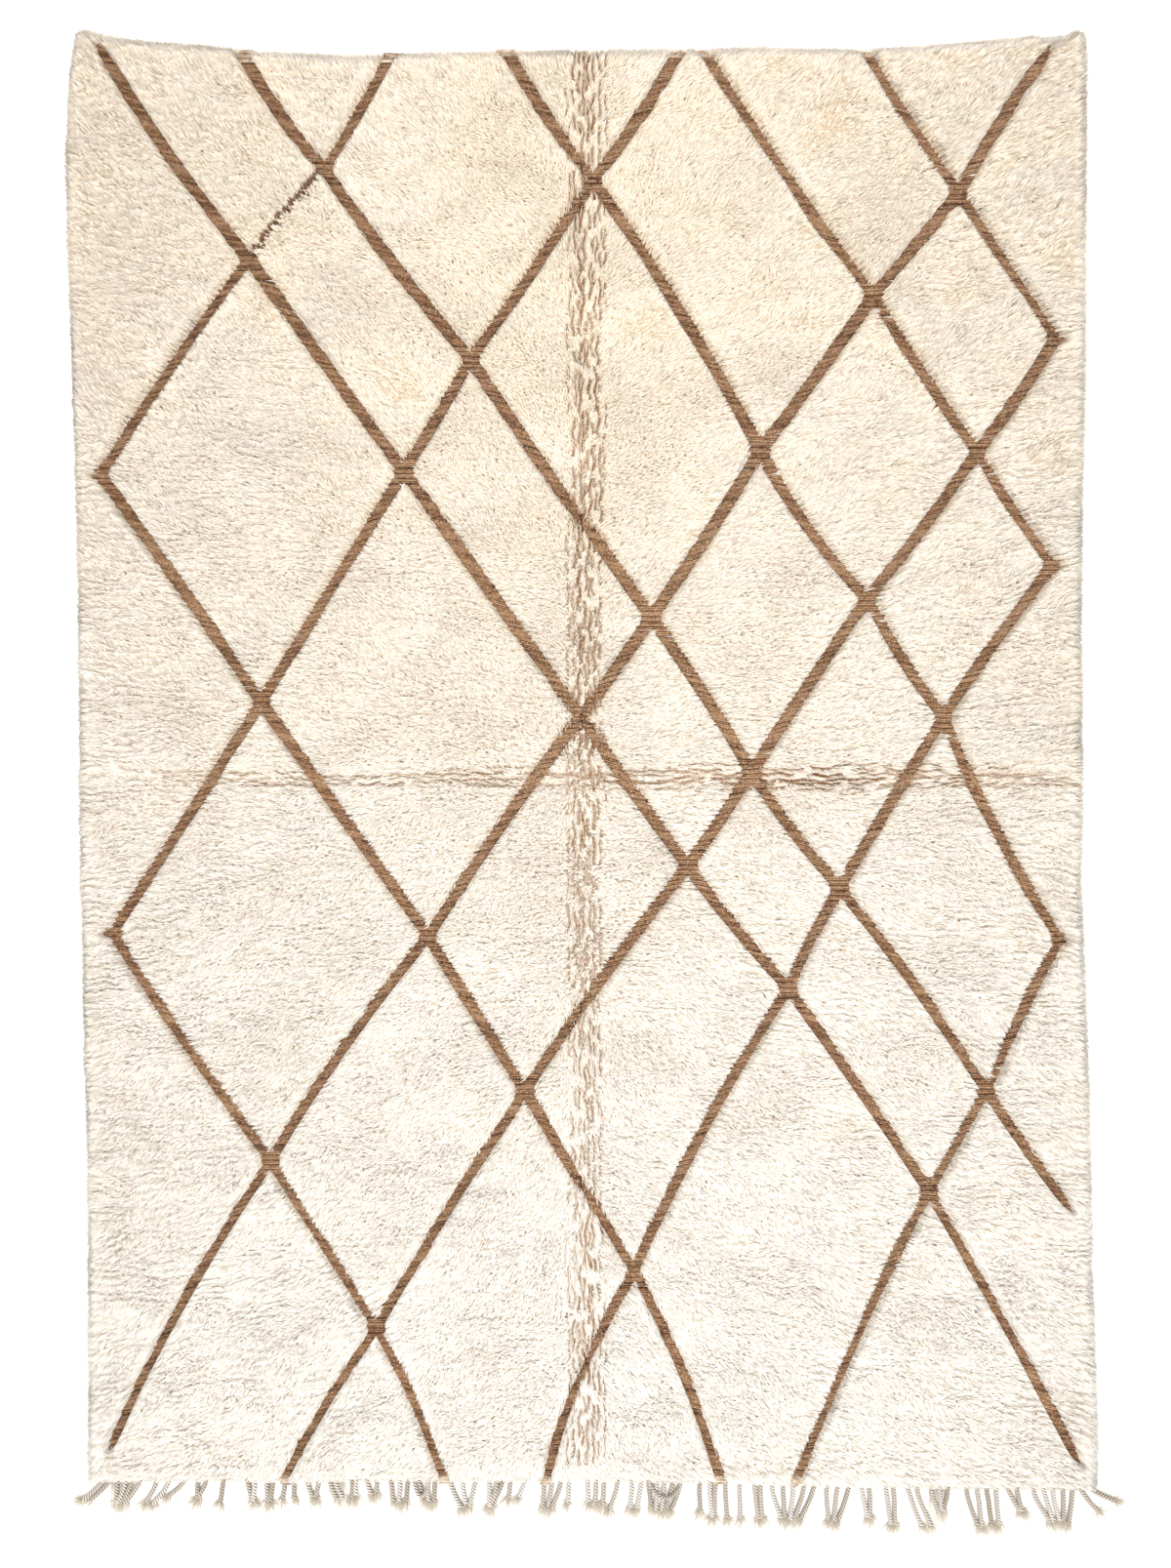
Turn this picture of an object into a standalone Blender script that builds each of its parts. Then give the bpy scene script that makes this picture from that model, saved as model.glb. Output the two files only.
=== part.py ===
"""A hand-knotted shag rug with a lattice of low brown lines, lying flat with its fringe spread out.

Metres, +Z up, +X across the rug and +Y away from the fringe. The origin is on the floor under the
middle of the rug.
"""
import math
import random
from collections import namedtuple

import bmesh
import bpy
import numpy as np
from mathutils import Vector, geometry, noise

MM = 0.001
GAP = 0.3 * MM  # between the rug and the strip that carries the fringe

# Heights above the floor
SHAG_HEIGHT = 22 * MM
LINE_HEIGHT = 10 * MM  # the brown rows are clipped short
RIM_HEIGHT = 12 * MM  # the shag rolls down to this at the edge

# The shag's plan and surface
RIM_ROLL = 20 * MM  # width of the roll along the edge
LINE_WIDTH = 21 * MM
THIN_LINE_WIDTH = 6 * MM  # one stretch of line is nearly grown over
BANK = 3 * MM  # run of the shag's wall beside a brown line
LUMP_DEPTH = 5 * MM
LUMP_SIZE = 110 * MM
LUMP_PITCH = 78 * MM
CREASE_DEPTH = 4 * MM
CREASE_WIDTH = 60 * MM
CREASE_ACROSS_Y = -26 * MM
CREASE_ALONG_X = 8 * MM
LINE_STEP = 80 * MM  # between the stations of a brown line
CLEAR = 9 * MM  # least room between a line's bank and the points of the open shag

# Locks of shag at the rim
LOCK_PITCH = 42 * MM
LOCK_REACH = (6 * MM, 14 * MM)
LOCK_TAPER = 0.45  # width of a lock's tip against its root
LOCK_DROOP = 0.78  # height of a lock's tip against its root
LOCK_SWAY = 5 * MM
LOCK_JITTER = 0.18  # of a lock's width
TIP_INSET = 8 * MM  # the tables below follow the lock tips, which stand this far past the weave
CORNER_INSET = 9 * MM  # from the ends of the top edge to where the sides meet it
FOOT_STEP = 60 * MM

# The two corners away from the fringe curl up
CURL_HEIGHT = 16 * MM
CURL_START = 1880 * MM  # sum of the distances out and up from the middle
CURL_RUN = 160 * MM

# Fields of points that carry the upper and under faces, measured from the middle
FIELD_HALF_WIDTH = 780 * MM
FIELD_HALF_LENGTH = 1150 * MM
FLOOR_PITCH = 190 * MM
JITTER = 0.25  # of the pitch

# The fringe
STRIP_DEPTH = 7 * MM
STRIP_HEIGHT = 5 * MM
CORD_WIDTH = 6.4 * MM
CORD_STEPS = 3
REACH_SPREAD = 3 * MM
CORD_CURVE = 0.35  # how late a cord turns sideways on its way out

WOOL_WHITE = (0.86, 0.78, 0.65, 1)
WOOL_CORD = (0.80, 0.72, 0.60, 1)

# Edges of the shag, in mm from the rug's middle: along the side, and how far out the tips reach
Edge = namedtuple("Edge", "along out")
LEFT_EDGE = (
    Edge(-1190, -822),
    Edge(-1000, -821),
    Edge(-680, -823),
    Edge(-355, -831),
    Edge(-30, -836),
    Edge(290, -839),
    Edge(620, -847),
    Edge(860, -857),
    Edge(1020, -859),
    Edge(1130, -852),
    Edge(1190, -838),
)
RIGHT_EDGE = (
    Edge(-1190, 858),
    Edge(-1130, 862),
    Edge(-1000, 857),
    Edge(-550, 847),
    Edge(-225, 835),
    Edge(35, 837),
    Edge(230, 834),
    Edge(455, 836),
    Edge(620, 840),
    Edge(1140, 842),
    Edge(1190, 836),
)
TOP_EDGE = (
    Edge(-838, 1196),
    Edge(-815, 1211),
    Edge(-770, 1203),
    Edge(-625, 1193),
    Edge(-525, 1179),
    Edge(-380, 1176),
    Edge(-90, 1184),
    Edge(150, 1184),
    Edge(300, 1190),
    Edge(445, 1184),
    Edge(590, 1194),
    Edge(740, 1206),
    Edge(785, 1200),
    Edge(812, 1212),
    Edge(836, 1196),
)
FOOT_EDGE = (
    Edge(-822, -1189),
    Edge(858, -1206),
)

# Where brown lines meet, turn or end, in mm right of and above the rug's middle
KNOTS = {
    "top1": (-785, 1170),
    "top2": (-550, 1160),
    "top3": (-315, 1160),
    "top4": (-115, 1165),
    "top5": (155, 1165),
    "top6": (205, 1165),
    "top7": (470, 1165),
    "top8": (768, 1175),
    "a": (-420, 975),
    "b": (20, 960),
    "c": (620, 940),
    "d": (-545, 830),
    "e": (480, 770),
    "f": (780, 700),
    "g": (-180, 665),
    "h": (295, 515),
    "i": (650, 512),
    "j": (-290, 480),
    "k": (-790, 475),
    "l": (775, 325),
    "m": (470, 270),
    "n": (115, 240),
    "o": (-525, 100),
    "p": (0, 75),
    "q": (595, 75),
    "r": (280, -15),
    "s": (175, -170),
    "t": (425, -205),
    "u": (-770, -280),
    "v": (-250, -285),
    "w": (787, -290),
    "x": (340, -370),
    "y": (-90, -540),
    "z": (667, -540),
    "A": (-510, -655),
    "B": (572, -705),
    "C": (805, -735),
    "D": (87, -835),
    "E": (-335, -930),
    "foot1": (-775, -1130),
    "foot2": (-485, -1172),
    "foot3": (-225, -1175),
    "foot4": (-55, -1175),
    "foot5": (228, -1178),
    "foot6": (355, -1180),
    "foot7": (820, -1155),
}
# Each brown line's knots from top to foot, and how far each stretch bows to the right, in mm
Line = namedtuple("Line", "knots bows")
LINES = (
    Line("top1 d j p s x B foot7", (-11, 0, 2, -2, -5, 3, 5)),
    Line("top2 a g n r t z C", (-8, -5, -3, 5, -6, 8, -2)),
    Line("top3 a d k o v y D foot5", (2, 0, -5, 3, 0, -1, -1, 11)),
    Line("top4 b h m q w z B foot6", (-5, 9, -14, -5, -9, -3, 0, -8)),
    Line("top5 b g j o u A E foot3", (6, 5, 2, 0, 0, -6, 0, 7)),
    Line("top6 e i l q t x D foot4", (-6, -2, -3, -3, 0, -3, -12, -15)),
    Line("top7 c f i m r s y E foot2", (-2, 0, 6, 5, -2, 2, -8, -5, -6)),
    Line("top8 c e h n p v A foot1", (-4, 3, 2, 3, 0, -6, -11, -15)),
)
THIN_STRETCH = ("a", "d")
TURNS = ("f", "k", "l", "u", "w")  # where a line turns back from the side

# Bunches of fringe cords: their roots and tips in mm right of the rug's middle, and their reach from
# the rug's foot in mm
Bunch = namedtuple("Bunch", "root_from root_to cords tip_from tip_to reach")
BUNCHES = (
    Bunch(-787, -776, 2, -826, -809, 49),
    Bunch(-766, -727, 4, -776, -748, 55),
    Bunch(-702, -681, 2, -718, -706, 57),
    Bunch(-654, -654, 1, -682, -682, 50),
    Bunch(-632, -619, 2, -640, -629, 49),
    Bunch(-590, -590, 1, -598, -598, 55),
    Bunch(-552, -541, 2, -548, -537, 52),
    Bunch(-520, -508, 2, -522, -511, 52),
    Bunch(-489, -475, 2, -495, -472, 47),
    Bunch(-455, -435, 2, -446, -434, 48),
    Bunch(-418, -406, 2, -406, -392, 48),
    Bunch(-379, -370, 2, -381, -371, 47),
    Bunch(-353, -339, 2, -348, -337, 42),
    Bunch(-316, -285, 3, -311, -288, 55),
    Bunch(-269, -240, 3, -262, -242, 52),
    Bunch(-217, -172, 3, -214, -169, 63),
    Bunch(-152, -127, 3, -157, -138, 60),
    Bunch(-113, -93, 2, -121, -101, 48),
    Bunch(-62, -32, 3, -68, -39, 63),
    Bunch(-17, -17, 1, -22, -22, 55),
    Bunch(12, 39, 3, 12, 37, 58),
    Bunch(62, 62, 1, 50, 50, 66),
    Bunch(83, 102, 2, 80, 97, 62),
    Bunch(111, 167, 5, 115, 154, 63),
    Bunch(198, 198, 1, 197, 197, 72),
    Bunch(214, 225, 2, 213, 224, 76),
    Bunch(239, 264, 2, 241, 266, 80),
    Bunch(288, 299, 2, 292, 302, 76),
    Bunch(316, 388, 5, 315, 381, 76),
    Bunch(408, 446, 3, 402, 434, 78),
    Bunch(464, 477, 2, 473, 484, 74),
    Bunch(504, 517, 2, 512, 526, 80),
    Bunch(540, 556, 2, 565, 579, 85),
    Bunch(579, 608, 3, 588, 607, 60),
    Bunch(638, 655, 2, 655, 668, 82),
    Bunch(671, 687, 2, 683, 694, 78),
    Bunch(705, 721, 2, 725, 736, 58),
    Bunch(749, 815, 5, 761, 824, 72),
    Bunch(826, 826, 1, 857, 857, 56),
    Bunch(843, 843, 1, 884, 884, 42),
)


def in_metres(rows):
    """A table's rows as an array in metres."""
    return np.array(rows, dtype=float) * MM


LEFT, RIGHT, TOP, FOOT = (in_metres(rows) for rows in (LEFT_EDGE, RIGHT_EDGE, TOP_EDGE, FOOT_EDGE))
KNOT_AT = {name: Vector(place) * MM for name, place in KNOTS.items()}


def edge_at(edge, along, inset=TIP_INSET):
    """How far out the weave reaches on one side, the given inset inside the lock tips."""
    out = float(np.interp(along, edge[:, 0], edge[:, 1]))
    return out - math.copysign(inset, out)


def edge_distance(x, y):
    """Distance in from the weave's nearest edge."""
    left = x - edge_at(LEFT, y)
    right = edge_at(RIGHT, y) - x
    top = edge_at(TOP, x) - y
    foot = y - edge_at(FOOT, x, 0)
    return min(left, right, top, foot)


def smooth(value):
    """An even step from 0 to 1."""
    value = min(1.0, max(0.0, value))
    return value * value * (3 - 2 * value)


def stretch_points(start, end, bow):
    """Points of one stretch of a brown line, clear of the knots at its two ends."""
    a, b = KNOT_AT[start], KNOT_AT[end]
    count = max(2, round((b - a).length / LINE_STEP))
    points = []
    for i in range(count):
        t = (i + 0.5) / count
        point = a.lerp(b, t)
        point.x += bow * MM * 4 * t * (1 - t)
        points.append(point)
    return points


def line_route(line):
    """A brown line's centre: its points, with the free ends and the sharp turns at the sides."""
    names = line.knots.split()
    route = [(KNOT_AT[names[0]], False)]
    for i, bow in enumerate(line.bows):
        thin = (names[i], names[i + 1]) == THIN_STRETCH
        route += [(point, thin) for point in stretch_points(names[i], names[i + 1], bow)]
        if names[i + 1] in TURNS or i == len(line.bows) - 1:
            route.append((KNOT_AT[names[i + 1]], False))
    return route


def offset_line(route, half_width, extend):
    """The route's left and right edges, joined round its ends into one loop of points."""
    sides = ([], [])
    for i, (point, thin) in enumerate(route):
        before = route[max(0, i - 1)][0]
        after = route[min(len(route) - 1, i + 1)][0]
        into = (point - before).normalized() if i else (after - point).normalized()
        out = (after - point).normalized() if i < len(route) - 1 else into
        along = (into + out).normalized()
        normal = Vector((along.y, -along.x))
        mitre = 1 / max(0.4, along.dot(out))
        reach = (half_width - (LINE_WIDTH - THIN_LINE_WIDTH) / 2 * thin) * mitre
        end = -extend if i == 0 else extend if i == len(route) - 1 else 0
        for side, sign in zip(sides, (-1, 1)):
            side.append(point + normal * reach * sign + along * end)
    return sides[0] + sides[1][::-1]


def segment_distance(point, a, b):
    """Distance in plan from a point to a segment."""
    run = b - a
    t = max(0.0, min(1.0, (point - a).dot(run) / run.length_squared))
    return (point - a - run * t).length


class Lattice:
    """The brown lines: their edges for the mesh, and how deep they are sunk at a point."""

    def __init__(self):
        self.segments = []
        self.loops = []
        for line in LINES:
            route = line_route(line)
            for (a, a_thin), (b, b_thin) in zip(route[:-1], route[1:]):
                width = THIN_LINE_WIDTH if a_thin and b_thin else LINE_WIDTH
                self.segments.append((a, b, width / 2))
            self.loops.append(offset_line(route, LINE_WIDTH / 2, 0))
            self.loops.append(offset_line(route, LINE_WIDTH / 2 + BANK, BANK))

    def bank_distance(self, x, y):
        """Distance from the foot of the nearest bank, below 0 on a brown line."""
        point = Vector((x, y))
        return min(segment_distance(point, a, b) - half for a, b, half in self.segments)


def crease_depth(x, y):
    """Depth of the two fold creases."""
    along = 1 - abs(x - CREASE_ALONG_X) / (CREASE_WIDTH / 2)
    across = 1 - abs(y - CREASE_ACROSS_Y) / (CREASE_WIDTH / 2)
    return CREASE_DEPTH * smooth(max(along, across))


def top_height(x, y, lattice):
    """Height of the rug's upper face."""
    roll = smooth(edge_distance(x, y) / RIM_ROLL)
    lump = LUMP_DEPTH * noise.noise(Vector((x, y, 0)) / LUMP_SIZE) * 2
    shag = RIM_HEIGHT + (SHAG_HEIGHT - RIM_HEIGHT + lump - crease_depth(x, y)) * roll
    bank = smooth(lattice.bank_distance(x, y) / BANK)
    return LINE_HEIGHT + (shag - LINE_HEIGHT) * bank


def curl(x, y):
    """How far the two far corners lift off the floor."""
    return CURL_HEIGHT * max(0.0, (abs(x) + y - CURL_START) / CURL_RUN) ** 2


def side_stations(start, end, step):
    """Places along a side, evenly apart, with its two corners."""
    count = max(1, round(abs(end - start) / step))
    return [start + (end - start) * i / count for i in range(count + 1)]


def lock_stations(start, end):
    """Places along a side where gaps and locks take turns, a gap at each end."""
    pairs = round(abs(end - start) / LOCK_PITCH)
    return side_stations(start, end, abs(end - start) / (2 * pairs + 1))


def rim_loop():
    """The weave's outline, anticlockwise from the left corner of the foot, and where locks grow."""
    chance = random.Random(11)
    left_foot, right_foot = FOOT[0] + (TIP_INSET, 0), FOOT[-1] - (TIP_INSET, 0)
    right_foot[1] = edge_at(FOOT, right_foot[0], 0)
    left_top = TOP[0] + (CORNER_INSET, -CORNER_INSET)
    right_top = TOP[-1] - (CORNER_INSET, CORNER_INSET)
    sides = (
        (side_stations(left_foot[0], right_foot[0], FOOT_STEP), FOOT),
        (lock_stations(right_foot[1], right_top[1]), RIGHT),
        (lock_stations(right_top[0], left_top[0]), TOP),
        (lock_stations(left_top[1], left_foot[1]), LEFT),
    )
    points, locks = [], []
    for stations, edge in sides:
        for i, along in enumerate(stations[:-1]):
            if 0 < i:
                along += chance.uniform(-LOCK_JITTER, LOCK_JITTER) * abs(stations[1] - stations[0])
            if edge is FOOT:
                point = Vector((along, edge_at(FOOT, along, 0)))
            elif edge is TOP:
                point = Vector((along, edge_at(TOP, along)))
            else:
                point = Vector((edge_at(edge, along), along))
            if edge is not FOOT and i % 2:
                locks.append(len(points))
            points.append(point)
    return points, locks


def shag_points(lattice):
    """Points of the open shag: a jittered field, the creases, and the inner line of the rim's roll."""
    chance = random.Random(5)
    points = []
    along = side_stations(-FIELD_HALF_LENGTH, FIELD_HALF_LENGTH, LUMP_PITCH)
    across = side_stations(-FIELD_HALF_WIDTH, FIELD_HALF_WIDTH, LUMP_PITCH)
    for row, y in enumerate(along):
        for x in across:
            x += (row % 2 / 2 + chance.uniform(-JITTER, JITTER)) * LUMP_PITCH
            y_here = y + chance.uniform(-JITTER, JITTER) * LUMP_PITCH
            crease_distance = min(abs(x - CREASE_ALONG_X), abs(y_here - CREASE_ACROSS_Y))
            if edge_distance(x, y_here) > RIM_ROLL * 1.8 and crease_distance > CREASE_WIDTH * 0.75:
                points.append((x, y_here))
    for side in (-0.5, 0, 0.5):
        stagger = side * LUMP_PITCH / 2
        points += [(CREASE_ALONG_X + side * CREASE_WIDTH, y + stagger) for y in along]
        points += [(x + stagger, CREASE_ACROSS_Y + side * CREASE_WIDTH) for x in across]
    points += [(edge_at(LEFT, y) + RIM_ROLL, y) for y in along]
    points += [(edge_at(RIGHT, y) - RIM_ROLL, y) for y in along]
    points += [(x, edge_at(TOP, x) - RIM_ROLL) for x in across]
    points += [(x, edge_at(FOOT, x, 0) + RIM_ROLL) for x in across]
    return [point for point in points if lattice.bank_distance(*point) > BANK + CLEAR]


def add_sheet(mesh, rim, loops, points, height):
    """Triangulates the rim's inside, through the loops and points, at the given height."""
    places = list(rim)
    edges = []
    for loop in loops:
        first = len(places)
        places += loop
        edges += [(first + i, first + (i + 1) % len(loop)) for i in range(len(loop))]
    places += [Vector(point) for point in points]
    inside = 1  # keeps only the triangles within the rim
    found = geometry.delaunay_2d_cdt(places, edges, [list(range(len(rim)))], inside, 1e-5)
    made = [mesh.verts.new((p.x, p.y, height(p.x, p.y))) for p in found[0]]
    faces = [mesh.faces.new([made[i] for i in face]) for face in found[2]]
    bmesh.ops.recalc_face_normals(mesh, faces=faces)
    return {edge for face in faces for edge in face.edges if edge.is_boundary}


def is_at(wall, places):
    """Whether a wall face stands at one of these places in plan."""
    middle = wall.calc_center_median().xy
    return any((middle - place).length < MM for place in places)


def grow_locks(mesh, faces):
    """Draws each of these wall faces out into a lock that narrows and sways."""
    chance = random.Random(23)
    for face in bmesh.ops.extrude_discrete_faces(mesh, faces=faces)["faces"]:
        outward = face.normal.copy()
        outward.z = 0
        outward.normalize()
        middle = face.calc_center_median()
        reach = outward * chance.uniform(*LOCK_REACH)
        sway = Vector((-outward.y, outward.x, 0)) * chance.uniform(-LOCK_SWAY, LOCK_SWAY)
        for vert in face.verts:
            aside = vert.co - middle
            aside.z = 0
            vert.co += reach + sway - aside * (1 - LOCK_TAPER)
            vert.co.z *= LOCK_DROOP


def make_object(name, mesh, colour, collection):
    """A named object with its own material, from a finished bmesh."""
    data = bpy.data.meshes.new(name)
    mesh.to_mesh(data)
    mesh.free()
    wool = bpy.data.materials.new(name)
    wool.use_nodes = True
    shader = wool.node_tree.nodes["Principled BSDF"]
    shader.inputs["Base Color"].default_value = colour
    shader.inputs["Roughness"].default_value = 0.95
    shader.inputs["Metallic"].default_value = 0
    data.materials.append(wool)
    made = bpy.data.objects.new(name, data)
    collection.objects.link(made)
    return made


def shag_rug(collection):
    """The rug: a lumpy slab with sunk lines, creases, curled corners and locks at its rim."""
    lattice = Lattice()
    rim, locks = rim_loop()
    mesh = bmesh.new()
    open_shag = shag_points(lattice)
    top = add_sheet(mesh, rim, lattice.loops, open_shag, lambda x, y: top_height(x, y, lattice))
    along = side_stations(-FIELD_HALF_LENGTH, FIELD_HALF_LENGTH, FLOOR_PITCH)
    across = side_stations(-FIELD_HALF_WIDTH, FIELD_HALF_WIDTH, FLOOR_PITCH)
    floor_points = [(x, y) for y in along for x in across]
    under = add_sheet(mesh, rim, [], floor_points, lambda x, y: 0.0)
    walls = bmesh.ops.bridge_loops(mesh, edges=list(top | under))["faces"]
    bmesh.ops.recalc_face_normals(mesh, faces=mesh.faces)
    middles = [(rim[i] + rim[i + 1]) / 2 for i in locks]
    grow_locks(mesh, [wall for wall in walls if is_at(wall, middles)])
    for vert in mesh.verts:
        vert.co.z += curl(vert.co.x, vert.co.y)
    bmesh.ops.triangulate(mesh, faces=mesh.faces)
    return make_object("shag_rug", mesh, WOOL_WHITE, collection)


def cord_table():
    """Every cord's root and tip across the rug and its reach, from the bunches."""
    cords = []
    for bunch in BUNCHES:
        for i in range(bunch.cords):
            t = i / max(1, bunch.cords - 1)
            root = bunch.root_from + (bunch.root_to - bunch.root_from) * t
            tip = bunch.tip_from + (bunch.tip_to - bunch.tip_from) * t
            cords.append((root * MM, tip * MM, bunch.reach * MM))
    return cords


def warp_fringe(collection):
    """The fringe: a strip along the rug's foot with a four-sided cord drawn from each root."""
    chance = random.Random(31)
    cords = cord_table()
    across = [FOOT_EDGE[0].along * MM + TIP_INSET]
    for root, *_ in cords:
        across += [root - CORD_WIDTH / 2, root + CORD_WIDTH / 2]
    across.append(FOOT_EDGE[-1].along * MM - TIP_INSET)
    mesh = bmesh.new()
    rows = []
    for depth in (GAP, GAP + STRIP_DEPTH):
        rows.append([mesh.verts.new((x, edge_at(FOOT, x, 0) - depth, 0)) for x in across])
    near, far = rows
    for i in range(len(across) - 1):
        mesh.faces.new((near[i], far[i], far[i + 1], near[i + 1]))
    raised = bmesh.ops.extrude_face_region(mesh, geom=mesh.faces[:])["geom"]
    bmesh.ops.translate(
        mesh, vec=(0, 0, STRIP_HEIGHT), verts=[g for g in raised if isinstance(g, bmesh.types.BMVert)]
    )
    bmesh.ops.recalc_face_normals(mesh, faces=mesh.faces)
    ends = [face for face in mesh.faces if face.normal.y < -0.5]
    ends.sort(key=lambda face: face.calc_center_median().x)
    cord_faces = ends[1::2]
    for face, (root, tip, reach) in zip(cord_faces, cords):
        reach += chance.uniform(-REACH_SPREAD, REACH_SPREAD) - STRIP_DEPTH
        place = Vector((root, face.calc_center_median().y, 0))
        for step in range(1, CORD_STEPS + 1):
            t = step / CORD_STEPS
            bend = t * (1 - CORD_CURVE) + t * t * CORD_CURVE
            target = Vector((root + (tip - root) * bend, -reach * t, 0))
            target.y += edge_at(FOOT, root, 0) - GAP - STRIP_DEPTH
            face = bmesh.ops.extrude_discrete_faces(mesh, faces=[face])["faces"][0]
            bmesh.ops.translate(mesh, vec=target - place, verts=face.verts)
            place = target
    bmesh.ops.recalc_face_normals(mesh, faces=mesh.faces)
    return make_object("warp_fringe", mesh, WOOL_CORD, collection)


def main():
    for item in list(bpy.data.objects):
        bpy.data.objects.remove(item, do_unlink=True)
    rug = bpy.data.collections.new("beni_ourain_rug")
    bpy.context.scene.collection.children.link(rug)
    shag_rug(rug)
    warp_fringe(rug)


main()
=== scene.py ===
import math
from collections import namedtuple

import bpy
import numpy as np
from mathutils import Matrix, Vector, noise


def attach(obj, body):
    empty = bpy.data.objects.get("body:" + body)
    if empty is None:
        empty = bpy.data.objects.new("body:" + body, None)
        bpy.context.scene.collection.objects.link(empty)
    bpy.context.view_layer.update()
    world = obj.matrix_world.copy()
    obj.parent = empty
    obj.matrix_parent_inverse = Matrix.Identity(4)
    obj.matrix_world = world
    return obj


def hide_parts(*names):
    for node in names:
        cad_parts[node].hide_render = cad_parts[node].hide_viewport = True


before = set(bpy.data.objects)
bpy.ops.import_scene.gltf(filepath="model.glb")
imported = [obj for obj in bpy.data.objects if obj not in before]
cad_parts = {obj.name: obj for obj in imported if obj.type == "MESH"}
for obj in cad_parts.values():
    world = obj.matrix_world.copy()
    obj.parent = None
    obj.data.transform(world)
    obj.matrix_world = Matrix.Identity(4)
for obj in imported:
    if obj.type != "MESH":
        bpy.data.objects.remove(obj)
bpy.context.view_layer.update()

MM = 0.001

# ---------------------------------------------------------------- camera

# The rug is seen from straight above.
VIEW_HEIGHT = 2.0  # metres above the floor
VIEW_LENGTH = 2.603  # of floor that the picture's long side takes in
VIEW_MIDDLE = (8 * MM, -36 * MM)
LONG_SIDE = 36  # mm of sensor

view = bpy.data.cameras.new("overhead_camera")
view.sensor_width = LONG_SIDE
view.lens = LONG_SIDE * VIEW_HEIGHT / VIEW_LENGTH
view.clip_start = 0.05
view.clip_end = 40
overhead = bpy.data.objects.new("overhead_camera", view)
overhead.location = (*VIEW_MIDDLE, VIEW_HEIGHT)
bpy.context.scene.collection.objects.link(overhead)
bpy.context.scene.camera = overhead

# ---------------------------------------------------------------- sizes

# Heights above the floor
GROUND_HEIGHT = 6 * MM  # the woven ground that carries every knot
SHAG_HEIGHT = 22 * MM
LINE_HEIGHT = 10 * MM
RIM_HEIGHT = 12 * MM

# Plan
HALF_WIDTH, HALF_LENGTH = 0.85, 1.2  # of the rug without its fringe
RIM_ROLL = 20 * MM  # over which the shag falls to its rim
LINE_WIDTH = 21 * MM
THIN_LINE_WIDTH = 5.5 * MM
BANK = 3 * MM  # run of the shag's wall beside a line
TIP_INSET = 8 * MM  # how far the shag's tips stand past the weave
LINE_STEP = 80 * MM  # between the points that a line runs through
LUMP_DEPTH = 5 * MM
LUMP_SIZE = 110 * MM
CREASE_DEPTH = 4 * MM
CREASE_WIDTH = 60 * MM
CREASE_ACROSS_Y = -26 * MM
CREASE_ALONG_X = 8 * MM
CREASE_SLIT_X = 1 * MM  # the slit that it cuts through the brown lines
CURL_HEIGHT = 16 * MM
CURL_START = 1880 * MM  # from the middle, across and along together
CURL_RUN = 160 * MM

# Knots of shag
ROW_PITCH = 2.9 * MM
KNOT_PITCH = 2.6 * MM
WAVE_PITCH = 13 * MM
WAVE_HEIGHT = 2.1 * MM
BACKED = 0.38  # share of the strands, the proudest ones, that have a back of their own
STRAND_WIDTH = 5.8 * MM  # where a strand comes out from among the others, to thin out to its tip
BELLY_UP = 0.72  # how high up a tuft of brown or a fibre is fullest
STRAND_LEAN = 6.5 * MM  # the least that a strand's tip lies aside of its knot
SEEN_FROM = 0.68  # of a strand's height, where it comes out from among the others
BACK_GAP = 0.4 * MM  # from a strand to its back
PANELS = 5
TINTS, TONES, CLEFTS = 6, 10, 4  # the shades that strands come in
PATCH_CORNERS = np.array([(0.08, 0.08), (0.92, 0.08), (0.5, 0.92)])  # a strand's corners in its patch

# Slits where the shag opens along the folds
SLIT_WIDTH = 1.8 * MM
SLIT_BEND = 6 * MM  # how quickly a slit winds to and fro
SLIT_PULL = 6.5 * MM  # how far off a slit the strands still lean away from it
LANES_ALONG = (-27, -18, -10, -3, 4, 12, 21, 31)  # mm off the fold along the rug
LANES_ACROSS = (-25, -16, -9, -2, 6, 14, 23)
PINCH = 3.5 * MM  # how much the fold along the rug draws each side of a line in

# Brown rows
RIB_PITCH = 4.2 * MM
GROUP = 2  # rows from one deep gap to the next, which is where the shag above steps back
GROUPS_OUT = 145  # from the middle of the rug to either end
MIDDLE_ROW = 300  # the number of the row at the middle of the rug
GAP_REACH = 0.52  # of the pitch, from a row's middle to the bottom of the gap beside it
RIB_STEP = 7 * MM
ROW_SLANT = 0.24  # rise of a brown row for its run across a single line
RIB_REACH = 6 * MM  # how far the ribs run on under the shag
NAP_INSET = 3.5 * MM  # how far in from the ends of the ribs it starts
NAP_STEP = 3.1 * MM  # from one brown tuft to the next along a rib

# Fringe
CORD_RADIUS = 4.5 * MM
CORD_LEAD = 15 * MM  # along the cord for one turn of a ply
CORD_CURVE = 0.35
CORD_START = 5 * MM  # how far under the shag a cord comes out of the weave
TWINED_EDGE = 6 * MM  # how far in from the outline the twined line lies
FRAY = 44 * MM  # the longest fibre of a frayed end
FIBRES = 64  # in each cord's frayed end
LOOP_RADIUS = 3.6 * MM
LOOP_RISE = 8 * MM
TWINE_RADIUS = 2.2 * MM
TWINE_LEAD = 22 * MM

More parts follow.
